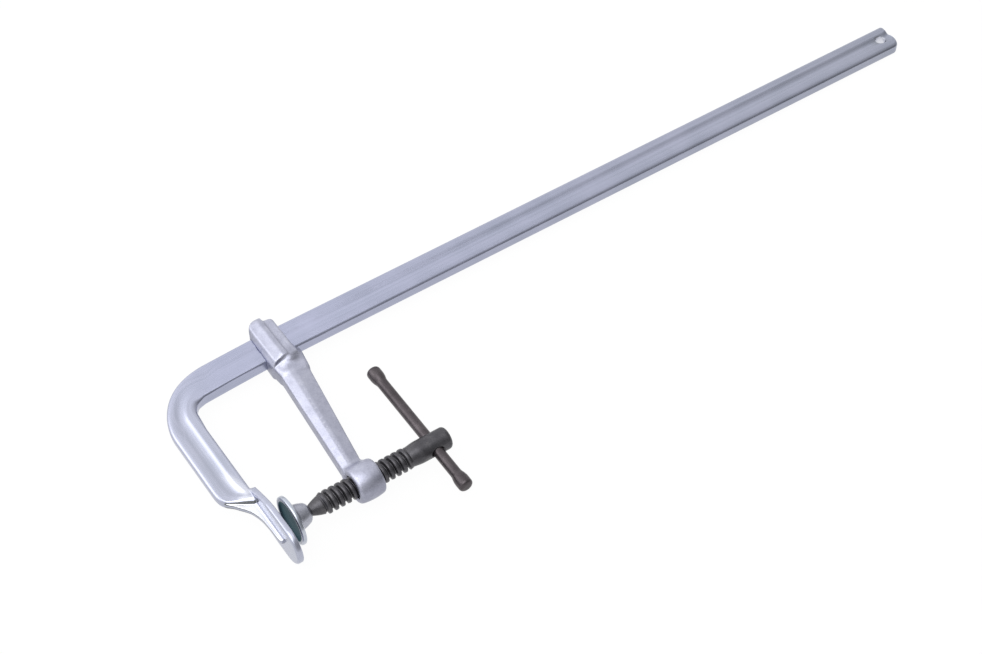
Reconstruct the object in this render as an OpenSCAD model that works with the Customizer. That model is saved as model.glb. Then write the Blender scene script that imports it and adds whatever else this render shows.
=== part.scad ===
// All-steel bar clamp: a grooved rail bent into a fixed arm, and a forged arm that slides along it
// and carries a black screw spindle with a sliding tommy bar and a swivelling pressure pad.
// The origin is the centre of the fixed jaw's face, on the spindle axis. +X runs along the bar away
// from the fixed arm, +Y from the jaws to the bar, and +Z is up while the clamp lies on its side.

/* [Bar] */
// Width of the bar between its narrow edges
bar_w = 24; // [21:0.5:27]
// Thickness of the bar between its grooved faces
bar_t = 10; // [8:0.5:12]
// Radius of the bar's four long edges
bar_edge_r = 2.5; // [1.5:0.25:3]
// Width of the shallow groove in each face of the bar
groove_w = 14; // [10:0.5:15]
// Depth of the shallow groove in each face of the bar
groove_d = 1.2; // [0.6:0.1:1.6]
// Far end of the bar, from the fixed jaw face
bar_end = 635; // [400:5:1000]
// Diameter of the hanging hole
hang_hole_d = 7.5; // [5:0.5:10]
// Centre of the hanging hole, from the far end of the bar
hang_hole_inset = 10; // [7:0.5:16]
// Corner radius at the far end, on the side of the jaws
end_corner_r = 5; // [2:0.5:7]

/* [Fixed arm] */
// Throat, from the spindle axis to the inner edge of the bar
throat = 120; // [100:5:150]
// Radius of the inside of the bend
bend_r = 12.5; // [10:0.5:18]
// Radius of the outside of the bend
bend_outer_r = 48.5; // [42:0.5:52]
// Width of the fixed arm
arm_w = 22.5; // [21:0.5:25]
// Set-back of the arm's inner edge from the jaw face
arm_setback = 3; // [1:0.25:4]
// Depth of the groove in the fixed arm
arm_groove_d = 2.2; // [1.2:0.1:2.8]
// Height above the spindle axis at which the arm's full thickness ends, on its outer edge
step_outer = 34; // [31:0.5:37]
// Height above the spindle axis at which the arm's full thickness ends, on its inner edge
step_inner = 26; // [23:0.5:28]
// Thickness of the forged web behind the jaw plate
web_t = 3; // [2:0.25:5]
// Thickness of the fixed jaw plate
jaw_t = 4.5; // [3.5:0.25:6]
// Greatest width of the fixed jaw plate
jaw_w = 30; // [26:0.5:34]
// Top of the fixed jaw plate, above the spindle axis
jaw_top = 33.5; // [31:0.5:37]
// Rounded tip of the fixed jaw plate, below the spindle axis
jaw_tip = 28.6; // [25:0.2:34]
// Bevel round the back of the fixed jaw plate
jaw_bevel = 1.5; // [0.5:0.25:2]

/* [Sliding arm] */
// Middle of the threaded boss, from the fixed jaw face
boss_x = 63; // [58:0.5:70]
// Diameter of the threaded boss
boss_d = 26.5; // [23:0.5:30]
// Length of the threaded boss
boss_l = 19.5; // [16:0.5:24]
// Rounding of the boss's rims
boss_rim_r = 3; // [1.5:0.25:4]
// Width of the beam where it leaves the boss
beam_w_low = 14.7; // [12:0.1:17]
// Width of the beam where it joins the head
beam_w_high = 21.3; // [18:0.1:24]
// Set-back of the beam's foot from the middle of the boss, towards the fixed arm
beam_setback = 2.3; // [0:0.1:3]
// How far the beam leans away from the fixed arm
beam_lean = 10.4; // [7:0.2:12]
// Thickness of the beam over its two crests
beam_t = 15; // [12:0.5:18]
// Thickness of the beam at its side faces
beam_side_t = 9.4; // [7:0.2:11]
// Middle of the head, from the middle of the boss
head_offset = 6; // [4:0.5:8]
// Width of the head along the bar
head_w = 20.4; // [17:0.2:24]
// Wall of the head over the far edge of the bar
head_wall = 8.2; // [6:0.2:11]
// Thickness of the head's cheeks over the bar's faces
cheek_t = 4; // [3:0.25:6]
// Height of the ridge above each cheek
ridge_h = 2.6; // [1.5:0.2:4]

/* [Spindle] */
// Diameter over the thread
thread_d = 16; // [14:0.5:18]
// Diameter of the core of the thread
core_d = 11.6; // [10:0.2:13]
// Pitch of the thread
pitch = 4.8; // [4:0.2:6]
// Length of the threaded stretch
thread_l = 68; // [55:1:90]
// Length of the bare cone between the pad and the thread
nose_l = 9.7; // [8:0.1:14]
// Diameter of the small end of the cone
nose_d = 6.2; // [5.6:0.1:6.6]
// Diameter of the ball at the spindle's tip
ball_d = 8.8; // [8:0.1:9.4]
// Diameter of the neck behind the ball
neck_d = 5.4; // [4.6:0.1:5.6]
// Diameter of the spindle's head
head_d = 16; // [14.5:0.5:20]
// Length of the spindle's head
head_l = 30.5; // [22:0.5:34]
// Centre of the tommy bar, from the far end of the spindle's head
cross_inset = 12; // [8:0.5:13]

/* [Tommy bar] */
// Diameter of the tommy bar
rod_d = 8; // [6:0.25:9]
// Length of the tommy bar over its knobs
rod_l = 117.5; // [90:2.5:140]
// Middle of the tommy bar, from the spindle axis
rod_shift = 17.2; // [-30:0.2:30]
// Diameter of the upset knobs at its ends
knob_d = 10.4; // [9.6:0.2:13]
// Length of the knobs
knob_l = 14; // [10:0.5:18]

/* [Pressure pad] */
// Gap between the jaws as the clamp lies
jaw_gap = 6; // [5:0.1:8]
// Diameter of the pressure plate
pad_d = 35; // [28:0.5:40]
// Thickness of the pressure plate at its rim
pad_t = 3; // [2.4:0.1:3.4]
// How far the back of the plate rises from its rim to the collar
hub_h = 2.2; // [1:0.2:2.6]
// Bevel round the front of the pressure plate
pad_bevel = 1; // [0.4:0.1:1.5]
// Diameter of the socket collar at the plate
collar_d = 18; // [16:0.5:22]
// Diameter of the socket collar at its shoulder
shoulder_d = 14.4; // [13.6:0.2:15.6]
// Diameter of the socket collar's mouth
mouth_d = 10.2; // [10:0.1:11]
// Centre of the ball, from the front of the plate
ball_inset = 7.8; // [7.6:0.1:8.4]
// Thickness of the retaining ring
ring_t = 1.2; // [0.8:0.1:1.5]
// Outer diameter of the retaining ring
ring_d = 9.8; // [9:0.1:10.2]

/* [Clearances] */
// Gap between the head of the sliding arm and the bar, on each side
bar_gap = 0.4; // [0.3:0.05:0.8]
// Gap between the thread's crests and the boss, on each side
thread_gap = 0.2; // [0.15:0.05:0.4]
// Gap between the tommy bar and its cross hole, on each side
rod_gap = 0.2; // [0.15:0.05:0.4]
// Gap between the ball and its seat
ball_gap = 0.2; // [0.15:0.05:0.3]
// Room round the retaining ring, in which the pad tilts
tilt_gap = 0.6; // [0.55:0.05:0.7]
// Room round the spindle's neck in the mouth of the collar, in which the pad tilts
mouth_gap = 1.3; // [1.2:0.05:1.4]

/* [Hidden] */
$fn = 64;
cut = 1;

// Rail: the bar's middle, the edges of the fixed arm and the centres of the bend's two arcs
bar_mid = throat + bar_w / 2;
arm_inner = -arm_setback;
arm_outer = -arm_setback - arm_w;
bend_centre = [arm_inner + bend_r, throat - bend_r];
bend_outer_centre = [arm_outer + bend_outer_r, throat + bar_w - bend_outer_r];
corner_steps = 4;
groove_steps = 8;
bend_steps = 12;
groove_runout = 22;
far_corner_r = 1.3;

// Sliding arm: the window round the bar and the planes that bound the head
win_low = throat - bar_gap;
win_high = throat + bar_w + bar_gap;
win_z = bar_t / 2 + bar_gap;
cheek_z = win_z + cheek_t;
ridge_z = cheek_z + ridge_h;
head_mid = boss_x + head_offset;
head_left = head_mid - head_w / 2;
head_right = head_mid + head_w / 2;
head_top = win_high + head_wall;
beam_top = throat - 8;
beam_foot = boss_d / 2 - 4;

// Spindle: stations along its axis, from the pad to the head
ball_x = jaw_gap + ball_inset;
mouth_x = ball_x + 6.5;
nose_x = mouth_x - 1;
thread_x = nose_x + nose_l;
head_x = thread_x + thread_l;
cross_x = head_x + head_l - cross_inset;
ring_x = ball_x + 3.6;
thread_lap = 0.3;
thread_around = 20;
thread_per_turn = 6;

// A closed solid through rings of points that all have the same even count and run clockwise as
// seen from behind. Each end is closed in strips between opposite points, so it may be grooved
module loft(rings) {
    count = len(rings[0]);
    last = len(rings) - 1;
    end = last * count;
    polyhedron(
        points = [for (ring = rings) each ring],
        faces = concat(
            [for (i = [0:count / 2 - 2]) [i + 1, i, count - 1 - i]],
            [for (i = [0:count / 2 - 2]) [i + 1, count - 1 - i, count - 2 - i]],
            [for (i = [0:count / 2 - 2]) [end + i, end + i + 1, end + count - 1 - i]],
            [for (i = [0:count / 2 - 2])
                [end + count - 1 - i, end + i + 1, end + count - 2 - i]],
            [for (k = [0:last - 1], i = [0:count - 1])
                [k * count + i, k * count + (i + 1) % count, (k + 1) * count + (i + 1) % count]],
            [for (k = [0:last - 1], i = [0:count - 1])
                [k * count + i, (k + 1) * count + (i + 1) % count, (k + 1) * count + i]]
        )
    );
}

// Half of a rounded, grooved section: across the width for one face, from + to -. The groove
// narrows where the section is too narrow for it
function face_points(width, depth, side) =
    let (groove = min(groove_w, width - 2 * bar_edge_r - 0.4))
    concat(
    [for (k = [0:corner_steps])
        let (a = 90 * k / corner_steps)
        [width / 2 - bar_edge_r * (1 - cos(a)), side * (bar_t / 2 - bar_edge_r * (1 - sin(a)))]],
    [for (k = [0:groove_steps])
        let (u = groove * (0.5 - k / groove_steps))
        [u, side * (bar_t / 2 - depth * (1 + cos(360 * u / groove)) / 2)]],
    [for (k = [corner_steps:-1:0])
        let (a = 90 * k / corner_steps)
        [-width / 2 + bar_edge_r * (1 - cos(a)), side * (bar_t / 2 - bar_edge_r * (1 - sin(a)))]]
);

function reversed(list) = [for (k = [len(list) - 1:-1:0]) list[k]];

function rail_section(width, depth) =
    concat(face_points(width, depth, 1), reversed(face_points(width, depth, -1)));

// One ring of the rail, across the direction [dx, dy] through [x, y]
function rail_ring(x, y, dx, dy, width, depth) =
    [for (p = rail_section(width, depth)) [x + dx * p[0], y + dy * p[0], p[1]]];

// One ring of the bend, turned by a, between its inner arc and its wider outer arc
function bend_ring(a, depth) =
    let (
        away = [-sin(a), cos(a)],
        inner = bend_centre + bend_r * away,
        outer = bend_outer_centre + bend_outer_r * away,
        middle = (inner + outer) / 2,
        width = (outer - inner) * away,
        across = (outer - inner) / width
    )
    rail_ring(middle[0], middle[1], across[0], across[1], width, depth);

// The bar, the bend and the fixed arm in one run, from the far end to below the step
function rail_rings() =
    let (
        arm_stations = [60, step_outer + groove_runout, step_outer + groove_runout * 0.7,
            step_outer + groove_runout * 0.4, step_outer + groove_runout * 0.15,
            step_outer - 2, step_inner - 8]
    )
    concat(
        [rail_ring(bar_end, bar_mid, 0, 1, bar_w, groove_d)],
        [for (k = [0:bend_steps])
            bend_ring(90 * k / bend_steps, groove_d + (arm_groove_d - groove_d) * k / bend_steps)],
        [for (y = arm_stations)
            let (left = min(1, max(0, (y - step_outer + 2) / (groove_runout + 2))))
            rail_ring((arm_inner + arm_outer) / 2, y, -1, 0, arm_w, arm_groove_d * left)]
    );

// Everything beyond the slanted step at the end of the arm's full thickness
module step_cutter() {
    reach = 40;
    linear_extrude(height = bar_t + 2 * cut, center = true)
        polygon([
            [arm_outer - cut, step_outer + 6],
            [arm_outer, step_outer + 4.3],
            [arm_outer + 2.8, step_outer + 0.2],
            [-jaw_t - 1, step_inner],
            [arm_inner + cut, step_inner - 1],
            [arm_inner + cut, step_inner - reach],
            [arm_outer - cut, step_inner - reach]
        ]);
}

// Outline of the fixed jaw plate, drawn from the jaw face: X is the height, Y the width
module jaw_outline(inset) {
    half = jaw_w / 2 - inset;
    tip_y = -jaw_tip + jaw_w / 2;
    translate([tip_y, 0]) circle(r = half);
    polygon([
        [jaw_top - inset, bar_t / 2 - inset],
        [jaw_top / 3, half - 1],
        [2, half],
        [tip_y, half],
        [tip_y, -half],
        [2, -half],
        [jaw_top / 3, 1 - half],
        [jaw_top - inset, -bar_t / 2 + inset]
    ]);
}

module jaw_plate() {
    translate([-jaw_t, 0, 0]) rotate([90, 0, 90]) {
        translate([0, 0, jaw_bevel]) linear_extrude(height = jaw_t - jaw_bevel) jaw_outline(0);
        linear_extrude(height = jaw_bevel + 0.01) jaw_outline(jaw_bevel);
    }
}

// Thin web that joins the end of the arm to the back of the jaw plate
module jaw_web() {
    linear_extrude(height = web_t, center = true)
        polygon([
            [arm_outer + 2.2, step_outer + 3],
            [arm_outer + 3.4, step_outer - 0.6],
            [arm_outer + 6.1, step_outer - 3],
            [arm_outer + 8.6, step_outer - 6.5],
            [arm_outer + 11.6, step_outer - 10.3],
            [-jaw_t - 6.9, step_inner - 6.3],
            [-jaw_t - 5.2, step_inner - 10.5],
            [-jaw_t - 3.9, step_inner - 15],
            [-jaw_t - 3.3, step_inner - 20],
            [-jaw_t - 2.9, -1],
            [-jaw_t - 2.7, -9],
            [-jaw_t - 2, -10.6],
            [-jaw_t + jaw_bevel, -11.2],
            [-jaw_t + jaw_bevel, step_outer]
        ]);
}

module rail_end_cutters() {
    size = end_corner_r;
    translate([bar_end - size, throat + size, 0]) difference() {
        translate([0, -size - cut, -bar_t]) cube([size + cut, size + cut, 2 * bar_t]);
        cylinder(r = size, h = 3 * bar_t, center = true);
    }
    translate([bar_end - far_corner_r, throat + bar_w - far_corner_r, 0]) difference() {
        translate([0, 0, -bar_t]) cube([far_corner_r + cut, far_corner_r + cut, 2 * bar_t]);
        cylinder(r = far_corner_r, h = 3 * bar_t, center = true);
    }
}

module rail() {
    color("lightsteelblue") difference() {
        union() {
            difference() {
                loft(rail_rings());
                step_cutter();
            }
            jaw_plate();
            jaw_web();
        }
        rail_end_cutters();
        translate([bar_end - hang_hole_inset, bar_mid, 0])
            cylinder(d = hang_hole_d, h = 2 * bar_t, center = true);
    }
}

// One roof-shaped section of the beam at height y, with its crest nearer the fixed arm
function beam_ring(y) =
    let (
        share = (y - boss_d / 2) / (beam_top - boss_d / 2),
        width = beam_w_low + (beam_w_high - beam_w_low) * share,
        left = boss_x - beam_setback + beam_lean * share - width / 2,
        right = left + width,
        crest = left + 0.32 * width,
        crest_w = 0.11 * width,
        side = beam_side_t / 2,
        top = beam_t / 2
    )
    [[left, y, -side], [crest, y, -top], [crest + crest_w, y, -top], [right, y, -side],
        [right, y, side], [crest + crest_w, y, top], [crest, y, top], [left, y, side]];

// A flat slice of a plan outline at the heights +z and -z
module slices(z, outline) {
    for (side = [-1, 1])
        translate([0, 0, side * z]) linear_extrude(height = 0.02, center = true) polygon(outline);
}

// The shoulder between the beam and the bar, bulging to both sides
module head_shoulder() {
    hull() {
        slices(beam_side_t / 2 + 0.5, [
            [head_left + 0.6, beam_top - 9],
            [head_left - 0.8, beam_top - 2],
            [head_left, throat + 4],
            [head_right, throat + 6],
            [head_right + 3.4, beam_top + 5],
            [head_right + 2.4, beam_top - 8]
        ]);
        slices(cheek_z - 0.6, [
            [head_left + 3, beam_top + 1],
            [head_left + 1, throat + 2],
            [head_right - 2, throat + 5],
            [head_right + 0.6, beam_top + 5],
            [head_right - 2, beam_top + 1]
        ]);
    }
}

// The block that wraps round the bar
module head_wrap() {
    soft = 1.4;
    hull() {
        slices(cheek_z - soft, [
            [head_left, beam_top + 4],
            [head_left, head_top - 12],
            [head_left + 2.4, head_top - 4.6],
            [head_left + 7, head_top - 1.2],
            [head_left + 12.6, head_top - 1.2],
            [head_right - 1, head_top - 2.6],
            [head_right, head_top - 3.6],
            [head_right, beam_top + 4]
        ]);
        slices(cheek_z, [
            [head_left + soft, beam_top + 6],
            [head_left + soft, head_top - 12],
            [head_left + 3.6, head_top - 5.6],
            [head_left + 7, head_top - 2.8],
            [head_left + 12.6, head_top - 2.8],
            [head_right - soft, head_top - 4.4],
            [head_right - soft, beam_top + 6]
        ]);
    }
}

// The ridge over each cheek, in line with the crest of the beam
module head_ridge() {
    hull() {
        slices(cheek_z - 1, [
            [head_left + 0.2, beam_top + 1],
            [head_left + 0.2, head_top - 12],
            [head_left + 3.4, head_top - 4],
            [head_left + 8, head_top - 0.4],
            [head_left + 12.8, head_top],
            [head_left + 12.8, beam_top + 1]
        ]);
        slices(ridge_z, [
            [head_left + 2.6, beam_top + 4],
            [head_left + 2.6, head_top - 12],
            [head_left + 5, head_top - 5],
            [head_left + 8.6, head_top - 1.8],
            [head_left + 12, head_top - 1.4],
            [head_left + 12, beam_top + 4]
        ]);
    }
}

// Barrel-shaped boss that the spindle screws through
module boss() {
    half = boss_l / 2;
    bulge = 0.8;
    translate([boss_x, 0, 0]) rotate([0, 90, 0]) rotate_extrude() polygon(concat(
        [[0, -half]],
        [for (k = [0:5])
            let (a = 90 * k / 5)
            [boss_d / 2 - bulge - boss_rim_r * (1 - sin(a)), -half + boss_rim_r * (1 - cos(a))]],
        [[boss_d / 2, 0]],
        [for (k = [5:-1:0])
            let (a = 90 * k / 5)
            [boss_d / 2 - bulge - boss_rim_r * (1 - sin(a)), half - boss_rim_r * (1 - cos(a))]],
        [[0, half]]
    ));
}

module sliding_arm() {
    color("silver") difference() {
        union() {
            boss();
            loft([for (y = [beam_foot, boss_d / 2 + 2, beam_top + 2]) beam_ring(y)]);
            head_shoulder();
            head_wrap();
            head_ridge();
        }
        translate([head_mid - head_w, win_low, -win_z])
            cube([2 * head_w, win_high - win_low, 2 * win_z]);
        translate([boss_x - boss_l, 0, 0]) rotate([0, 90, 0])
            cylinder(d = thread_d + 2 * thread_gap, h = 2 * boss_l);
    }
}

// Height of the rounded thread form, from 0 at the root to 1 at the crest, over one turn
function thread_form(turn) =
    let (t = turn - floor(turn))
    min(1, max(0, 0.5 + 0.75 * sin(360 * t)));

// Radius of the screw surface: the thread fades out over the last half turn at both ends
function thread_radius(x, a) =
    let (
        fade = min(1, min(x, thread_l - x) * 2 / pitch),
        depth = (thread_d - core_d) / 2
    )
    core_d / 2 + depth * max(0, fade) * thread_form(x / pitch - a / 360);

module thread() {
    steps = floor(thread_l / pitch * thread_per_turn);
    rings = [for (k = [0:steps])
        let (x = thread_l * k / steps)
        [for (i = [0:thread_around - 1])
            let (a = -360 * i / thread_around, r = thread_radius(x, a))
            [thread_x + x, r * cos(a), r * sin(a)]]];
    loft(rings);
}

// Ball, neck and cone at the pad's end of the spindle
module spindle_nose() {
    translate([ball_x, 0, 0]) sphere(d = ball_d);
    rotate([0, 90, 0]) rotate_extrude() polygon([
        [0, ball_x],
        [neck_d / 2, ball_x],
        [neck_d / 2, nose_x - 0.4],
        [nose_d / 2, nose_x + 0.4],
        [core_d / 2 + 0.6, thread_x],
        [core_d / 2 + 0.6, thread_x + thread_lap],
        [0, thread_x + thread_lap]
    ]);
}

// Head of the spindle, necked down a little where the thread runs out
module spindle_head() {
    far = head_x + head_l;
    rotate([0, 90, 0]) rotate_extrude() polygon([
        [0, head_x - thread_lap],
        [head_d / 2 - 0.9, head_x - thread_lap],
        [head_d / 2 - 0.5, head_x + 0.6],
        [head_d / 2 - 0.4, head_x + 3],
        [head_d / 2, head_x + 6],
        [head_d / 2, far - 2.2],
        [head_d / 2 - 0.5, far - 0.9],
        [head_d / 2 - 1.6, far],
        [0, far]
    ]);
}

module spindle() {
    color("dimgray") {
        spindle_nose();
        thread();
        difference() {
            spindle_head();
            translate([cross_x, 0, 0]) rotate([90, 0, 0])
                cylinder(d = rod_d + 2 * rod_gap, h = 2 * head_d, center = true);
        }
    }
}

// One bullet-shaped knob of the tommy bar: radius and distance from the knob's end
function knob_points() = [
    [0, 0],
    [knob_d / 2 - 2.2, 0.3],
    [knob_d / 2 - 0.9, 1.2],
    [knob_d / 2 - 0.2, 2.8],
    [knob_d / 2, 5],
    [knob_d / 2 - 0.15, 8],
    [(knob_d + rod_d) / 4, knob_l - 2.5],
    [rod_d / 2, knob_l]
];

module tommy_bar() {
    low = rod_shift - rod_l / 2;
    points = knob_points();
    color("dimgray") translate([cross_x, low, 0]) rotate([-90, 0, 0]) rotate_extrude()
        polygon(concat(points, [for (p = reversed(points)) [p[0], rod_l - p[1]]]));
}

module pressure_plate() {
    back = jaw_gap + pad_t;
    hub = back + hub_h;
    color("slategray") difference() {
        rotate([0, 90, 0]) rotate_extrude() polygon([
            [0, jaw_gap],
            [pad_d / 2 - pad_bevel, jaw_gap],
            [pad_d / 2, jaw_gap + pad_bevel * 0.7],
            [pad_d / 2, back - 0.4],
            [pad_d / 2 - 0.6, back],
            [collar_d / 2 + 0.8, hub],
            [0, hub]
        ]);
        translate([ball_x, 0, 0]) sphere(d = ball_d + 2 * ball_gap);
    }
}

// Crimped collar that closes the socket behind the ball, with a groove for the ring
module socket_collar() {
    back = jaw_gap + pad_t + hub_h;
    pocket = ring_d / 2 + tilt_gap;
    color("silver") difference() {
        rotate([0, 90, 0]) rotate_extrude() polygon([
            [0, back],
            [collar_d / 2, back],
            [collar_d / 2 - 0.2, back + 2],
            [shoulder_d / 2 + 0.7, ring_x - 1.2],
            [shoulder_d / 2, ring_x + ring_t],
            [mouth_d / 2 + 0.6, mouth_x - 0.5],
            [mouth_d / 2, mouth_x],
            [0, mouth_x]
        ]);
        rotate([0, 90, 0]) cylinder(r = nose_d / 2 + mouth_gap, h = mouth_x + cut);
        rotate([0, 90, 0]) cylinder(d = ball_d + 4 * ball_gap, h = ring_x);
        translate([ring_x - tilt_gap, 0, 0]) rotate([0, 90, 0])
            cylinder(r = pocket, h = ring_t + 2 * tilt_gap);
    }
}

module retaining_ring() {
    color("gray") translate([ring_x, 0, 0]) rotate([0, 90, 0]) difference() {
        cylinder(d = ring_d, h = ring_t);
        translate([0, 0, -cut]) cylinder(d = neck_d + 2 * ball_gap, h = ring_t + 2 * cut);
    }
}

rail();
sliding_arm();
spindle();
tommy_bar();
pressure_plate();
socket_collar();
retaining_ring();
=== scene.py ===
"""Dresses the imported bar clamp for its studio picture.

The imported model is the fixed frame. Each class below makes the finely shaped surface of one
sub-assembly from its real sizes, in millimetres, and gives it its finish. Lengths become metres
when a mesh is made.
"""
from __future__ import annotations

import logging
import math
from dataclasses import dataclass, field
from enum import Enum
from typing import Any, Callable

import bmesh
import bpy
import numpy as np
from mathutils import Matrix, Vector

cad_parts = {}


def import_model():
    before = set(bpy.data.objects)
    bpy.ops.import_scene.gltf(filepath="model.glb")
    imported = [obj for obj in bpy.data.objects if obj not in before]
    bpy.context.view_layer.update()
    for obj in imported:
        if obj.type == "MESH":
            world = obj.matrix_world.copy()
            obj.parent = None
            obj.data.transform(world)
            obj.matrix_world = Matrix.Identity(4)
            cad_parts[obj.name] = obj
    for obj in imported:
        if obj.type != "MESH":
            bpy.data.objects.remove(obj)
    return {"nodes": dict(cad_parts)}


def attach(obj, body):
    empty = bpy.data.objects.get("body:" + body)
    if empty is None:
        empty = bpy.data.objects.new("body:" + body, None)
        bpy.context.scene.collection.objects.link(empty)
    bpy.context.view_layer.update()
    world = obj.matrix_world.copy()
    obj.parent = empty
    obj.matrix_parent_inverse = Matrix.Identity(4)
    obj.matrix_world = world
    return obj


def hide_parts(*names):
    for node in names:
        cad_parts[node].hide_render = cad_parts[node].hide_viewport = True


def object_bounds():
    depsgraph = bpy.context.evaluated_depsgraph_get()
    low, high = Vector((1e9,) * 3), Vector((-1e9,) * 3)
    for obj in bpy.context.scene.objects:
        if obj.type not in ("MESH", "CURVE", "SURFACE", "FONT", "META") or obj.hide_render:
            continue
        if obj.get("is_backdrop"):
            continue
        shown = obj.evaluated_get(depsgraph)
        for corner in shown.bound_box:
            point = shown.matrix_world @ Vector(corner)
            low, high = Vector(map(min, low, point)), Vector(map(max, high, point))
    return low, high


MM = 0.001
LOG = logging.getLogger("bar_clamp")
VALUE = "NodeSocketFloat"
VECTOR = "NodeSocketVector"
SHADE = "NodeSocketColor"

Pair = tuple[float, float]
Triple = tuple[float, float, float]
Colour = tuple[float, float, float, float]
Faces = list[tuple[int, ...]]
Depth = Callable[[np.ndarray], np.ndarray]


class Slot(Enum):
    """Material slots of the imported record."""

    ZINC_RAIL = "zinc_rail"
    ZINC_FORGING = "zinc_forging"
    BLACK_OXIDE = "black_oxide"
    PAD_STEEL = "pad_steel"


class Pattern(Enum):
    """Fine patterns that a finish can have."""

    DRAWN = "drawn"
    FORGED = "forged"
    TURNED = "turned"


class Axis(Enum):
    """Axes that a piece can be turned round."""

    X = 0
    Y = 1


class Body(Enum):
    """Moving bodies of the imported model."""

    RAIL = "rail"
    SLIDING_ARM = "sliding_arm"
    SPINDLE = "spindle"
    TOMMY_BAR = "tommy_bar"
    PRESSURE_PAD = "pressure_pad"


# Small shared maths


def smoothstep(value: Any) -> Any:
    """Eases a number or array from 0 to 1 between 0 and 1."""
    t = np.clip(value, 0.0, 1.0)
    return t * t * (3.0 - 2.0 * t)


def ramp(value: Any, start: float, end: float) -> Any:
    """Eases from 0 where the value is at start to 1 where it is at end."""
    return smoothstep((value - start) / (end - start))


def quarter(count: int) -> np.ndarray:
    """Angles of a quarter turn in even steps, without the first."""
    return np.radians(np.linspace(0.0, 90.0, count + 1)[1:])


def reach_along(points: np.ndarray) -> np.ndarray:
    """Length of a path of points up to each of them."""
    steps = np.sqrt((np.diff(points, axis=0) ** 2).sum(1))
    return np.concatenate([[0.0], np.cumsum(steps)])


def smooth_min(a: np.ndarray, b: np.ndarray, width: float) -> np.ndarray:
    """Blends two distance fields into their union with a soft inner corner.

    Args:
        a: First field.
        b: Second field.
        width: How far the blend reaches, in the fields' unit.

    Returns:
        The blended field.
    """
    share = np.maximum(width - np.abs(a - b), 0.0) / width
    return np.minimum(a, b) - share * share * width * 0.25


def smooth_max(a: np.ndarray, b: np.ndarray, width: float) -> np.ndarray:
    """Blends two distance fields into their overlap with a rounded outer edge.

    Args:
        a: First field.
        b: Second field.
        width: How far the rounding reaches, in the fields' unit.

    Returns:
        The blended field.
    """
    return -smooth_min(-a, -b, width)


def half_plane(u: Any, v: Any, start: Pair, end: Pair) -> Any:
    """Distance to a line, positive on its left as seen from its start.

    Args:
        u: First coordinates of the points.
        v: Second coordinates of the points.
        start: A point on the line.
        end: A second point on the line.

    Returns:
        The signed distances.
    """
    du = end[0] - start[0]
    dv = end[1] - start[1]
    length = np.sqrt(du * du + dv * dv)
    return ((v - start[1]) * du - (u - start[0]) * dv) / length


def outline_field(u: Any, v: Any, corners: list[Pair], soft: float) -> Any:
    """Distance field of a convex outline whose corners run clockwise.

    Args:
        u: First coordinates of the points.
        v: Second coordinates of the points.
        corners: Corners of the outline.
        soft: Rounding of the corners.

    Returns:
        The field, negative inside.
    """
    total = None
    for start, end in zip(corners, corners[1:] + corners[:1]):
        side = half_plane(u, v, start, end)
        total = side if total is None else smooth_max(total, side, soft)
    return total


def smooth_path(knots: list[tuple[float, ...]], count: int) -> np.ndarray:
    """Runs one smooth curve through chosen points.

    Args:
        knots: The points, each a tuple of coordinates.
        count: How many points come back.

    Returns:
        An array of count rows.
    """
    points = np.array(knots, dtype=float)
    first = 2 * points[0] - points[1]
    last = 2 * points[-1] - points[-2]
    padded = np.vstack([first, points, last])
    spans = len(points) - 1
    place = np.linspace(0.0, spans, count)
    index = np.minimum(place.astype(int), spans - 1)
    t = (place - index)[:, None]
    a, b, c, d = (padded[index + k] for k in range(4))
    return 0.5 * (2 * b + (c - a) * t + (2 * a - 5 * b + 4 * c - d) * t * t
                  + (3 * b - a - 3 * c + d) * t ** 3)


def rounding(depth: float, radius: float) -> float:
    """How far a rounded edge falls back, at a depth from the outline.

    Args:
        depth: Depth from the outline.
        radius: Radius of the edge.

    Returns:
        The length that is missing there.
    """
    if depth >= radius:
        return 0.0
    return radius - math.sqrt(max(radius ** 2 - (radius - depth) ** 2, 0.0))


# Meshes


def mesh_object(name: str, points: np.ndarray, faces: Faces,
                run: np.ndarray | None = None, sharp: float = 35.0) -> bpy.types.Object:
    """Makes one smooth-shaded object from points in millimetres.

    Args:
        name: Name of the piece.
        points: Its points, one row each.
        faces: Point numbers of each face.
        run: Across and along lengths of each point, for marks that follow the drawing direction.
        sharp: Angle in degrees above which an edge stays sharp.

    Returns:
        The new object, linked to the scene.
    """
    mesh = bpy.data.meshes.new(name)
    mesh.from_pydata((points * MM).tolist(), [], faces)
    if run is not None:
        layer = mesh.attributes.new("run", "FLOAT_VECTOR", "POINT")
        rows = np.zeros((len(points), 3))
        rows[:, :2] = run
        layer.data.foreach_set("vector", rows.ravel())
    tidy = bmesh.new()
    tidy.from_mesh(mesh)
    bmesh.ops.remove_doubles(tidy, verts=tidy.verts, dist=0.000002)
    bmesh.ops.recalc_face_normals(tidy, faces=tidy.faces)
    tidy.to_mesh(mesh)
    tidy.free()
    mesh.polygons.foreach_set("use_smooth", [True] * len(mesh.polygons))
    mesh.set_sharp_from_angle(angle=math.radians(sharp))
    mesh.update()
    obj = bpy.data.objects.new(name, mesh)
    bpy.context.scene.collection.objects.link(obj)
    return obj


def read_rows(data: Any, key: str) -> np.ndarray:
    """Reads the vectors of a mesh layer.

    Args:
        data: The layer's data.
        key: Name of the vector in it.

    Returns:
        One row for each.
    """
    rows = np.empty(len(data) * 3)
    data.foreach_get(key, rows)
    return rows.reshape(-1, 3)


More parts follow.
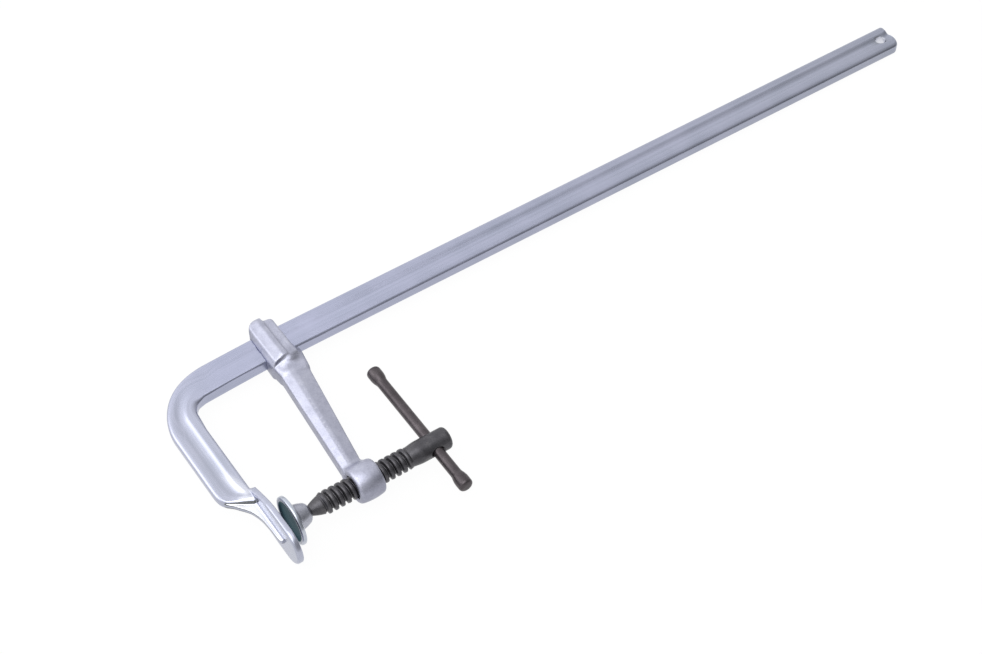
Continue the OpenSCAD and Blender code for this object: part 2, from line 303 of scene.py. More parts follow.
def ring_faces(rings: int, around: int) -> Faces:
    """Quads between closed rings of points.

    Args:
        rings: How many rings there are.
        around: How many points each ring has.

    Returns:
        The faces.
    """
    faces = []
    for start in range(0, (rings - 1) * around, around):
        for i in range(around):
            j = (i + 1) % around
            faces.append((start + i, start + j, start + around + j, start + around + i))
    return faces


def turned_object(name: str, profile: np.ndarray, axis: Axis = Axis.X, around: int = 96,
                  centre: Triple = (0.0, 0.0, 0.0),
                  sharp: float = 35.0) -> bpy.types.Object:
    """Turns a profile round an axis, as on a lathe.

    Args:
        name: Name of the piece.
        profile: Rows of place along the axis and radius.
        axis: The axis.
        around: Points round the axis.
        centre: A point on the axis.
        sharp: Angle in degrees above which an edge stays sharp.

    Returns:
        The new object.
    """
    turn = np.linspace(0.0, 2 * math.pi, around, endpoint=False)
    place = np.repeat(profile[:, 0], around)
    first = np.outer(profile[:, 1], np.cos(turn)).ravel()
    second = np.outer(profile[:, 1], np.sin(turn)).ravel()
    order = [first, second]
    order.insert(axis.value, place)
    points = np.stack(order, -1) + np.array(centre)
    along = np.repeat(reach_along(profile), around)
    run = np.stack([along, np.repeat(profile[:, 1], around)], -1)
    return mesh_object(name, points, ring_faces(len(profile), around), run, sharp)


def cut_with(obj: bpy.types.Object, cutter: bpy.types.Object, sharp: float = 35.0) -> None:
    """Cuts one object out of another and deletes the cutter.

    Args:
        obj: The piece that is cut.
        cutter: The shape that is taken away.
        sharp: Angle in degrees above which an edge stays sharp.
    """
    change = obj.modifiers.new("cut", "BOOLEAN")
    change.operation = "DIFFERENCE"
    change.solver = "EXACT"
    change.object = cutter
    graph = bpy.context.evaluated_depsgraph_get()
    result = bpy.data.meshes.new_from_object(obj.evaluated_get(graph))
    obj.modifiers.remove(change)
    old = obj.data
    result.name = old.name
    obj.data = result
    bpy.data.meshes.remove(old)
    used = cutter.data
    bpy.data.objects.remove(cutter)
    bpy.data.meshes.remove(used)
    result.polygons.foreach_set("use_smooth", [True] * len(result.polygons))
    result.set_sharp_from_angle(angle=math.radians(sharp))


@dataclass(frozen=True)
class ForgedSolid:
    """Turns a distance field into a smooth mesh, for shapes that flow into each other."""

    low: Triple
    high: Triple
    step: float = 0.5

    def build(self, name: str, distance: Callable[..., np.ndarray]) -> bpy.types.Object:
        """Meshes the zero surface of a field with one point per crossed cell.

        Args:
            name: Name of the piece.
            distance: Field of x, y and z arrays in millimetres, negative inside.

        Returns:
            The new object, with normals taken from the field.
        """
        axes = [np.arange(a, b + self.step, self.step) for a, b in zip(self.low, self.high)]
        values = distance(*np.meshgrid(*axes, indexing="ij")).astype(np.float32)
        points, number = self._points(values, axes)
        for _ in range(3):
            slope = self._slope(distance, points)
            points -= slope * np.clip(distance(*points.T), -self.step, self.step)[:, None]
        normals = self._slope(distance, points)
        obj = mesh_object(name, points, self._faces(values, number), None, 180.0)
        kept = read_rows(obj.data.vertices, "co") / MM
        if len(kept) != len(normals):
            normals = self._slope(distance, kept)
        obj.data.normals_split_custom_set_from_vertices(normals.tolist())
        return obj

    @staticmethod
    def _slope(distance: Callable[..., np.ndarray], points: np.ndarray) -> np.ndarray:
        """Unit direction in which the field grows.

        Args:
            distance: Field of x, y and z arrays.
            points: Where it is asked, one row each.

        Returns:
            One direction for each point.
        """
        parts = []
        for shift in np.eye(3) * 0.06:
            parts.append(distance(*(points + shift).T) - distance(*(points - shift).T))
        slope = np.stack(parts, -1)
        return slope / np.maximum(np.linalg.norm(slope, axis=1, keepdims=True), 1e-9)

    @staticmethod
    def _ends(axis: int) -> tuple[tuple[slice, ...], tuple[slice, ...], list[int]]:
        """Pairs every grid point with the next one along an axis.

        Args:
            axis: Number of the axis.

        Returns:
            Slices of the nearer and the farther points, and the two other axes.
        """
        low = [slice(None)] * 3
        high = [slice(None)] * 3
        low[axis] = slice(0, -1)
        high[axis] = slice(1, None)
        return tuple(low), tuple(high), [k for k in range(3) if k != axis]

    @classmethod
    def _points(cls, values: np.ndarray, axes: list[np.ndarray]) -> tuple[np.ndarray, np.ndarray]:
        """One point in each cell that the surface crosses, in the middle of its crossings.

        Args:
            values: The field on the grid.
            axes: Places of the grid along each axis.

        Returns:
            The points and the number of each cell's point, with -1 where there is none.
        """
        shape = tuple(n - 1 for n in values.shape)
        total = np.zeros(shape + (3,))
        count = np.zeros(shape)
        for axis in range(3):
            low, high, (one, two) = cls._ends(axis)
            a = values[low]
            b = values[high]
            crossed = (a < 0.0) != (b < 0.0)
            share = np.where(crossed, a / np.where(crossed, a - b, 1.0), 0.0)
            for first, second in ((0, 0), (0, 1), (1, 0), (1, 1)):
                part = [slice(None)] * 3
                part[one] = slice(first, first + shape[one])
                part[two] = slice(second, second + shape[two])
                hit = crossed[tuple(part)]
                count += hit
                total[..., axis] += np.where(hit, share[tuple(part)], 0.0)
                total[..., one] += np.where(hit, first, 0)
                total[..., two] += np.where(hit, second, 0)
        cells = count > 0
        number = -np.ones(shape, dtype=np.int64)
        number[cells] = np.arange(int(cells.sum()))
        offset = total[cells] / count[cells][:, None]
        start = np.array([axis[0] for axis in axes])
        return start + (np.argwhere(cells) + offset) * (axes[0][1] - axes[0][0]), number

    @classmethod
    def _faces(cls, values: np.ndarray, number: np.ndarray) -> Faces:
        """One quad round each grid edge that the surface crosses.

        Args:
            values: The field on the grid.
            number: Number of each cell's point.

        Returns:
            The faces.
        """
        inside = values < 0.0
        faces: Faces = []
        for axis in range(3):
            low, high, (one, two) = cls._ends(axis)
            edges = np.argwhere(inside[low] != inside[high])
            keep = (edges[:, one] > 0) & (edges[:, two] > 0)
            keep &= (edges[:, one] < number.shape[one]) & (edges[:, two] < number.shape[two])
            edges = edges[keep]
            quad = []
            for back_one, back_two in ((1, 1), (0, 1), (0, 0), (1, 0)):
                cell = edges.copy()
                cell[:, one] -= back_one
                cell[:, two] -= back_two
                quad.append(number[tuple(cell.T)])
            faces += [tuple(row) for row in np.stack(quad, -1).tolist()]
        return faces


# Shader node groups


class NodeDesk:
    """Places and links nodes in one node tree."""

    def __init__(self, tree: bpy.types.NodeTree) -> None:
        """Keeps the tree and clears it."""
        self.tree = tree
        self.tree.nodes.clear()

    def add(self, kind: str, **settings: Any) -> bpy.types.Node:
        """Adds a node.

        Args:
            kind: Blender's name of the node type.
            **settings: Properties that are set on it.

        Returns:
            The node.
        """
        node = self.tree.nodes.new(kind)
        for key, value in settings.items():
            setattr(node, key, value)
        return node

    def feed(self, socket: bpy.types.NodeSocket, value: Any) -> None:
        """Links a socket to an output, or sets it to a plain value.

        Args:
            socket: The input that is fed.
            value: An output socket or a plain value.
        """
        if isinstance(value, bpy.types.NodeSocket):
            self.tree.links.new(value, socket)
        else:
            socket.default_value = value

    def math(self, operation: str, a: Any, b: Any = 0.0, clamp: bool = False) -> Any:
        """Adds a Math node.

        Args:
            operation: Its operation.
            a: First input.
            b: Second input.
            clamp: Whether the result stays between 0 and 1.

        Returns:
            Its output.
        """
        node = self.add("ShaderNodeMath", operation=operation, use_clamp=clamp)
        self.feed(node.inputs[0], a)
        self.feed(node.inputs[1], b)
        return node.outputs[0]

    def vector(self, operation: str, a: Any, b: Any = (0.0, 0.0, 0.0)) -> Any:
        """Adds a Vector Math node.

        Args:
            operation: Its operation.
            a: First input.
            b: Second input.

        Returns:
            Its vector output, or its value for a dot product.
        """
        node = self.add("ShaderNodeVectorMath", operation=operation)
        self.feed(node.inputs[0], a)
        self.feed(node.inputs[1], b)
        return node.outputs["Value" if operation == "DOT_PRODUCT" else "Vector"]

    def span(self, value: Any, low: float, high: float, to_low: float = 0.0,
             to_high: float = 1.0, smooth: bool = True) -> Any:
        """Adds a Map Range node.

        Args:
            value: Its input.
            low: Input that gives to_low.
            high: Input that gives to_high.
            to_low: Lowest result.
            to_high: Highest result.
            smooth: Whether the change is eased.

        Returns:
            Its output.
        """
        kind = "SMOOTHSTEP" if smooth else "LINEAR"
        node = self.add("ShaderNodeMapRange", interpolation_type=kind)
        for key, item in (("Value", value), ("From Min", low), ("From Max", high),
                          ("To Min", to_low), ("To Max", to_high)):
            self.feed(node.inputs[key], item)
        return node.outputs["Result"]

    def even(self, value: Any, low: float = 0.3, high: float = 0.7) -> Any:
        """Stretches a noise evenly to the range from -1 to 1."""
        return self.span(value, low, high, -1.0, 1.0, False)

    def total(self, *parts: tuple[Any, float]) -> Any:
        """Adds up values by weight.

        Args:
            *parts: Each value with its weight.

        Returns:
            The sum.
        """
        weighed = [self.math("MULTIPLY", value, weight) for value, weight in parts]
        result = weighed[0]
        for item in weighed[1:]:
            result = self.math("ADD", result, item)
        return result

    def signs(self, value: Any) -> tuple[Any, Any]:
        """How far a value is above zero and how far below, each up to 1."""
        return self.math("MULTIPLY", value, 1.0, True), self.math("MULTIPLY", value, -1.0, True)

    def parts(self, value: Any) -> Any:
        """Takes a vector apart.

        Args:
            value: The vector.

        Returns:
            Its outputs, called X, Y and Z.
        """
        node = self.add("ShaderNodeSeparateXYZ")
        self.feed(node.inputs[0], value)
        return node.outputs

    def noise(self, place: Any, scale: Any, detail: float = 3.0, rough: float = 0.5) -> Any:
        """Adds a Noise Texture.

        Args:
            place: Coordinates.
            scale: How many lumps there are per unit.
            detail: Octaves.
            rough: Share of the finer octaves.

        Returns:
            Its value output.
        """
        node = self.add("ShaderNodeTexNoise")
        self.feed(node.inputs["Vector"], place)
        self.feed(node.inputs["Scale"], scale)
        node.inputs["Detail"].default_value = detail
        node.inputs["Roughness"].default_value = rough
        return node.outputs["Fac"]

    def blend(self, share: Any, a: Any, b: Any, kind: str = "MIX") -> Any:
        """Adds a colour mix.

        Args:
            share: How much of b there is.
            a: First colour.
            b: Second colour.
            kind: Blending mode.

        Returns:
            The mixed colour.
        """
        node = self.add("ShaderNodeMix", data_type="RGBA", blend_type=kind)
        self.feed(node.inputs[0], share)
        self.feed(node.inputs[6], a)
        self.feed(node.inputs[7], b)
        return node.outputs[2]

    def group(self, tree: bpy.types.NodeTree, **values: Any) -> bpy.types.Node:
        """Places a node group.

        Args:
            tree: The group.
            **values: Its inputs by name, with _ for a space.

        Returns:
            The group node.
        """
        node = self.add("ShaderNodeGroup")
        node.node_tree = tree
        for key, value in values.items():
            self.feed(node.inputs[key.replace("_", " ")], value)
        return node


class Effects:
    """Shader node groups that several finishes share, each built once."""

    def __init__(self) -> None:
        """Builds every group."""
        self.drawn = self._drawn_lines()
        self.skin = self._forged_skin()
        self.wear = self._edge_wear()
        self.tint = self._plating_tint()
        self.marks = self._handling_marks()
        self.turned = self._turned_rings()

    def pattern(self, desk: NodeDesk, kind: Pattern, fineness: float, place: Any, run: Any) -> Any:
        """Places the group of a finish's fine pattern.

        Args:
            desk: The material's desk.
            kind: Which pattern it is.
            fineness: How fine it is.
            place: Object coordinates.
            run: Coordinates along the surface.

        Returns:
            Its outputs, called Tone and Height.
        """
        if kind is Pattern.FORGED:
            return desk.group(self.skin, Place=place, Grain=fineness).outputs
        tree = self.drawn if kind is Pattern.DRAWN else self.turned
        return desk.group(tree, Run=run, Fineness=fineness).outputs

    @staticmethod
    def _open(name: str, inputs: list[tuple[str, str, Any]],
              outputs: tuple[str, ...] = ("Tone", "Height"),
              kind_out: str = VALUE) -> tuple[NodeDesk, Any, Any]:
        """Starts a node group.

        Args:
            name: Name of the group.
            inputs: Name, kind and starting value of each input.
            outputs: Name of each output.
            kind_out: Kind of the outputs.

        Returns:
            A desk for the group, the outputs of its input node and the inputs of its output node.
        """
        tree = bpy.data.node_groups.new(name, "ShaderNodeTree")
        desk = NodeDesk(tree)
        for title, kind, value in inputs:
            socket = tree.interface.new_socket(title, in_out="INPUT", socket_type=kind)
            if value is not None:
                socket.default_value = value
        for title in outputs:
            tree.interface.new_socket(title, in_out="OUTPUT", socket_type=kind_out)
        return desk, desk.add("NodeGroupInput").outputs, desk.add("NodeGroupOutput").inputs

    def _drawn_lines(self) -> bpy.types.NodeTree:
        """Long fine lines left by drawing the bar through its die."""
        desk, given, out = self._open("Drawn lines", [("Run", VECTOR, None),
                                                      ("Fineness", VALUE, 1.0)])
        long = desk.vector("MULTIPLY", given["Run"], (1.0, 0.012, 0.0))
        broad = desk.noise(long, given["Fineness"], 2.0)
        fine = desk.noise(long, desk.math("MULTIPLY", given["Fineness"], 5.0), 3.0, 0.6)
        desk.feed(out["Tone"], desk.even(desk.total((broad, 0.6), (fine, 0.4))))
        desk.feed(out["Height"], fine)
        return desk.tree

    def _forged_skin(self) -> bpy.types.NodeTree:
        """Fine dimples and slow waves of a forged and plated skin."""
        desk, given, out = self._open("Forged skin", [("Place", VECTOR, None),
                                                      ("Grain", VALUE, 900.0)])
        grain = desk.noise(given["Place"], given["Grain"], 4.0, 0.6)
        wave = desk.noise(given["Place"], desk.math("MULTIPLY", given["Grain"], 0.16), 2.0)
        cells = desk.add("ShaderNodeTexVoronoi", feature="SMOOTH_F1")
        desk.feed(cells.inputs["Vector"], given["Place"])
        desk.feed(cells.inputs["Scale"], desk.math("MULTIPLY", given["Grain"], 0.7))
        desk.feed(out["Tone"], desk.even(desk.total((grain, 0.6), (wave, 0.4)), 0.35, 0.65))
        desk.feed(out["Height"],
                  desk.total((grain, 0.7), (cells.outputs["Distance"], 0.5), (wave, 0.9)))
        return desk.tree

    def _edge_wear(self) -> bpy.types.NodeTree:
        """Mask of the outer edges, where handling brightens the plating."""
        desk, given, out = self._open("Edge wear", [("Place", VECTOR, None),
                                                    ("Reach", VALUE, 0.06)], ("Mask",))
        shape = desk.add("ShaderNodeNewGeometry")
        proud = desk.math("SUBTRACT", shape.outputs["Pointiness"], 0.5)
        share = desk.math("DIVIDE", proud, given["Reach"], True)
        broken = desk.span(desk.noise(given["Place"], 260.0, 3.0, 0.65), 0.35, 0.6)
        desk.feed(out["Mask"], desk.math("MULTIPLY", share, broken, True))
        return desk.tree

    def _plating_tint(self) -> bpy.types.NodeTree:
        """Colour of a plated or blackened metal, which drifts with a tone."""
        desk, given, out = self._open(
            "Plating tint", [("Base", SHADE, (0.7, 0.7, 0.8, 1.0)),
                             ("Light", SHADE, (0.8, 0.8, 0.9, 1.0)),
                             ("Dark", SHADE, (0.6, 0.6, 0.7, 1.0)),
                             ("Tone", VALUE, 0.0), ("Wear", VALUE, 0.0)], ("Color",), SHADE)
        up, down = desk.signs(given["Tone"])
        drift = desk.blend(up, given["Base"], given["Light"])
        drift = desk.blend(down, drift, given["Dark"])
        desk.feed(out["Color"], desk.blend(given["Wear"], drift, given["Light"]))
        return desk.tree

    def _handling_marks(self) -> bpy.types.NodeTree:
        """Slow cloudy changes of gloss and tone left by handling and plating."""
        desk, given, out = self._open("Handling marks", [("Place", VECTOR, None),
                                                         ("Size", VALUE, 40.0)],
                                      ("Cloud", "Rough"))
        cloud = desk.noise(given["Place"], given["Size"], 3.0, 0.55)
        fine = desk.noise(given["Place"], desk.math("MULTIPLY", given["Size"], 7.0), 2.0)
        desk.feed(out["Cloud"], desk.even(cloud))
        desk.feed(out["Rough"], desk.even(desk.total((cloud, 0.7), (fine, 0.3))))
        return desk.tree

    def _turned_rings(self) -> bpy.types.NodeTree:
        """Fine rings left by the lathe on a turned piece."""
        desk, given, out = self._open("Turned rings", [("Run", VECTOR, None),
                                                       ("Fineness", VALUE, 6.0)])
        flat = desk.vector("MULTIPLY", given["Run"], (1.0, 0.6, 0.0))
        rings = desk.noise(flat, given["Fineness"], 4.0, 0.65)
        desk.feed(out["Tone"], desk.even(rings))
        desk.feed(out["Height"], rings)
        return desk.tree


# Finishes


def colour(red: float, green: float, blue: float) -> Colour:
    """A colour with full alpha."""
    return (red, green, blue, 1.0)


@dataclass(frozen=True)
class Finish:
    """Common part of the finishes: a pattern, clouds, worn edges, a tint and a gloss.

    The pair called wear holds how sharp an edge wears and how bright it gets. The pair called tones
    holds how much the pattern and the clouds change the tone.
    """

    name: str
    kind: Pattern
    fineness: float
    base: Colour
    light: Colour
    dark: Colour
    gloss: float
    depth: float
    cloud_size: float = 60.0
    wear: Pair = (0.09, 0.7)
    tones: Pair = (0.5, 0.3)
    uneven: float = 0.04
    streaks: float = 0.0
    metal: float = 1.0
    grazing: Colour = colour(1.0, 1.0, 1.0)

    def make(self, effects: Effects) -> bpy.types.Material:
        """Builds the material.

        Args:
            effects: The shared node groups.

        Returns:
            The material.
        """
        material = bpy.data.materials.new(self.name)
        material.use_nodes = True
        desk = NodeDesk(material.node_tree)
        shader = desk.add("ShaderNodeBsdfPrincipled")
        out = desk.add("ShaderNodeOutputMaterial")
        desk.feed(out.inputs["Surface"], shader.outputs["BSDF"])
        place = desk.add("ShaderNodeTexCoord").outputs["Object"]
        run = desk.add("ShaderNodeAttribute", attribute_name="run").outputs["Vector"]
        pattern = effects.pattern(desk, self.kind, self.fineness, place, run)
        marks = desk.group(effects.marks, Place=place, Size=self.cloud_size).outputs
        worn = desk.group(effects.wear, Place=place, Reach=self.wear[0]).outputs["Mask"]
        tone = desk.total((pattern["Tone"], self.tones[0]), (marks["Cloud"], self.tones[1]))
        tint = desk.group(effects.tint, Base=self.base, Light=self.light, Dark=self.dark,
                          Tone=self.shade(desk, tone),
                          Wear=desk.math("MULTIPLY", worn, self.wear[1]))
        desk.feed(shader.inputs["Base Color"], self.paint_light_and_shade(desk, tint.outputs["Color"], run))
        rough = desk.math("ADD", self.gloss, desk.math("MULTIPLY", marks["Rough"], self.uneven))
        if self.streaks:
            rough = desk.math("ADD", rough, desk.math("MULTIPLY", pattern["Tone"], self.streaks))
        desk.feed(shader.inputs["Roughness"], rough)
        shader.inputs["Metallic"].default_value = self.metal
        shader.inputs["Specular Tint"].default_value = self.grazing
        bump = desk.add("ShaderNodeBump")
        bump.inputs["Strength"].default_value = 1.0
        bump.inputs["Distance"].default_value = self.depth * MM
        desk.feed(bump.inputs["Height"], pattern["Height"])
        desk.feed(shader.inputs["Normal"], bump.outputs["Normal"])
        return material

    def shade(self, desk: NodeDesk, tone: Any) -> Any:
        """Changes the tone by place; a plain finish keeps it."""
        return tone

    def paint_light_and_shade(self, desk: NodeDesk, tinted: Any, run: Any) -> Any:
        """Paints light and shade into the tinted colour by place; a plain finish keeps it."""
        return tinted

    @staticmethod
    def level(desk: NodeDesk) -> Any:
        """How level a face lies: 1 where it faces up or down, 0 where it stands."""
        shape = desk.add("ShaderNodeNewGeometry")
        return desk.math("ABSOLUTE", desk.parts(shape.outputs["True Normal"])["Z"])


@dataclass(frozen=True)
class DrawnZinc(Finish):
    """Satin zinc over cold-drawn steel, with lengthwise lines.

    The second number of a piece's run is the way along it, from the bar's far end. The third is 1
    where a highlight or reflection is painted in, and -1 where shade is painted in.
    """

    name: str = "drawn_zinc"
    kind: Pattern = Pattern.DRAWN
    fineness: float = 0.55
    base: Colour = colour(0.4, 0.417, 0.54)
    light: Colour = colour(0.475, 0.485, 0.63)
    dark: Colour = colour(0.315, 0.34, 0.44)
    # Colours of the painted highlights and reflections and of the painted shade, laid where the
    # run's third number is above or below zero.
    painted_highlight: Colour = colour(0.86, 0.87, 0.92)
    scale: Colour = colour(0.18, 0.19, 0.19)
    gloss: float = 0.28
    depth: float = 0.012
    cloud_size: float = 34.0
    wear: Pair = (0.08, 0.7)
    tones: Pair = (0.4, 0.3)
    streaks: float = 0.03
    # Painted shade that darkens the standing faces.
    painted_edge_shade: float = 0.15
    edge_level: Pair = (0.6, 0.2)
    # Painted shade that darkens the bar towards its far end, and painted light that brightens the
    # bend.
    far: Colour = colour(0.87, 0.875, 0.82)
    far_shade_reach: float = 560.0
    bend_light: Colour = colour(1.1, 1.095, 1.02)
    bend_light_from: Pair = (600.0, 680.0)

    def shade(self, desk: NodeDesk, tone: Any) -> Any:
        """Paints shade on the standing faces, darkening them a little."""
        narrow = desk.span(self.level(desk), *self.edge_level)
        return desk.math("SUBTRACT", tone, desk.math("MULTIPLY", narrow, self.painted_edge_shade))

    def paint_light_and_shade(self, desk: NodeDesk, tinted: Any, run: Any) -> Any:
        """Paints shade on the far end and light on the bend, and lays the painted highlights and
        shade of the run's third number over both.

        Args:
            desk: The material's desk.
            tinted: The colour so far.
            run: Coordinates along the surface.

        Returns:
            The colour with its painted light and shade.
        """
        parts = desk.parts(run)
        # bright is the share of painted highlight, the next share that of painted shade, both from
        # the run's third number.
        bright, painted_dark = desk.signs(parts["Z"])
        # Painted shade towards the far end, then painted light at the bend.
        far = desk.span(parts["Y"], self.far_shade_reach, 0.0, 0.0, 1.0, False)
        bend_light = desk.span(parts["Y"], *self.bend_light_from)
        result = desk.blend(far, tinted, self.far, "MULTIPLY")
        result = desk.blend(bend_light, result, self.bend_light, "MULTIPLY")
        result = desk.blend(bright, result, self.painted_highlight)
        return desk.blend(painted_dark, result, self.scale)


@dataclass(frozen=True)
class ForgedZinc(Finish):
    """Zinc over a blasted forging, with a grainy skin, a duller trimmed seam and painted shade on
    its steep sides.
    """

    name: str = "forged_zinc"
    kind: Pattern = Pattern.FORGED
    fineness: float = 1100.0
    base: Colour = colour(0.43, 0.438, 0.53)
    light: Colour = colour(0.54, 0.547, 0.63)
    dark: Colour = colour(0.3, 0.307, 0.38)
    gloss: float = 0.42
    depth: float = 0.05
    wear: Pair = (0.1, 0.8)
    tones: Pair = (0.5, 0.25)
    uneven: float = 0.05
    seam_half: float = 4.4
    seam_dark: float = 0.8
    seam_level: Pair = (0.5, 0.2)
    # Painted shade that darkens the steep sides.
    steep_painted_shade: float = 0.75
    steep_level: Pair = (0.62, 0.36)

    def shade(self, desk: NodeDesk, tone: Any) -> Any:
        """Darkens the trimmed seam and paints shade on the steep sides, where the finish has a
        seam.

        Args:
            desk: The material's desk.
            tone: The tone so far.

        Returns:
            The changed tone.
        """
        if self.seam_dark <= 0.0:
            return tone
        place = desk.add("ShaderNodeTexCoord").outputs["Object"]
        height = desk.math("ABSOLUTE", desk.parts(place)["Z"])
        seam = desk.span(height, (self.seam_half + 0.8) * MM, (self.seam_half - 0.6) * MM)
        level = self.level(desk)
        seam = desk.math("MULTIPLY", seam, desk.span(level, *self.seam_level))
        seam = desk.math("MULTIPLY", seam, -self.seam_dark)
        # Painted shade on the steep sides, by how they face.
        steep = desk.math("MULTIPLY", desk.span(level, *self.steep_level), -self.steep_painted_shade)
        return desk.math("ADD", tone, desk.math("MINIMUM", seam, steep))


@dataclass(frozen=True)
class BlackOxide(Finish):
    """Oiled black oxide, satin, a little brighter on the worn crests."""

    name: str = "black_oxide"
    kind: Pattern = Pattern.FORGED
    fineness: float = 1500.0
    base: Colour = colour(0.076, 0.074, 0.082)
    light: Colour = colour(0.16, 0.155, 0.16)
    dark: Colour = colour(0.045, 0.043, 0.047)
    gloss: float = 0.38
    depth: float = 0.015
    cloud_size: float = 90.0
    wear: Pair = (0.09, 0.6)
    tones: Pair = (0.3, 0.3)
    uneven: float = 0.06
    metal: float = 0.85


@dataclass(frozen=True)
class TurnedSteel(Finish):
    """Plated steel that was turned on a lathe, with fine rings."""

    name: str = "turned_steel"
    kind: Pattern = Pattern.TURNED
    fineness: float = 5.0
    base: Colour = colour(0.46, 0.49, 0.56)
    light: Colour = colour(0.6, 0.63, 0.69)
    dark: Colour = colour(0.34, 0.37, 0.43)
    gloss: float = 0.22
    depth: float = 0.012
    cloud_size: float = 120.0


def settle(obj: bpy.types.Object, body: Body, nodes: tuple[str, ...],
           materials: list[bpy.types.Material]) -> None:
    """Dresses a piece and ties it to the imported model.

    Args:
        obj: The piece.
        body: The body that it rides on.
        nodes: CAD nodes that it stands for.
        materials: Its materials, in the order of its faces' numbers.
    """
    for material in materials:
        obj.data.materials.append(material)
    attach(obj, body.value)
    if nodes:
        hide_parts(*nodes)
    LOG.info("%s: %d faces, on %s", obj.name, len(obj.data.polygons), body.value)


# Rail


@dataclass(frozen=True)
class Groove:
    """A shallow groove across a section, as distances from the inner edge and depths."""

    knots: tuple[Pair, ...]

    def depth(self, u: np.ndarray, squeeze: float = 1.0, slip: float = 0.0) -> np.ndarray:
        """Depth of the groove.

        Args:
            u: Distances from the inner edge.
            squeeze: Width of the section as a share of its usual one.
            slip: How far the groove has moved towards the inner edge.

        Returns:
            The depths.
        """
        path = smooth_path(list(self.knots), 160)
        return np.interp((u + slip) / squeeze, path[:, 0], np.maximum(path[:, 1], 0.0))


@dataclass
class RingStack:
    """Upper half rings of the rail in order, and how far each lies from the bar's far end."""

    halves: list[np.ndarray] = field(default_factory=list)
    ways: list[float] = field(default_factory=list)

    def add(self, half: np.ndarray, way: float) -> None:
        """Adds a half ring at a way from the far end."""
        self.halves.append(half)
        self.ways.append(way)

    def follow(self, half: np.ndarray, gap: float) -> None:
        """Adds a half ring at a gap after the last one."""
        self.add(half, self.ways[-1] + gap)

    def mesh(self, name: str, sharp: float) -> bpy.types.Object:
        """Mirrors the half rings, joins them and closes the flat far end.

        Args:
            name: Name of the piece.
            sharp: Angle in degrees above which an edge stays sharp.

        Returns:
            The new object.
        """
        rings = []
        across = []
        for half in self.halves:
            rings.append(np.vstack([half, half[-2:0:-1] * np.array([1.0, 1.0, -1.0])]))
            reach = reach_along(half)
            across.append(np.concatenate([reach, reach[-2:0:-1]]))
        around = len(rings[0])
        last = len(self.halves[0]) - 1
        faces = ring_faces(len(rings), around)
        for i in range(last):
            row = [i, i + 1]
            for k in (i + 1, i):
                twin = (around - k) % around
                if twin not in row and k != last:
                    row.append(twin)
            faces.append(tuple(row))
        run = np.stack([np.concatenate(across), np.repeat(self.ways, around)], -1)
        return mesh_object(name, np.vstack(rings), faces, run, sharp)


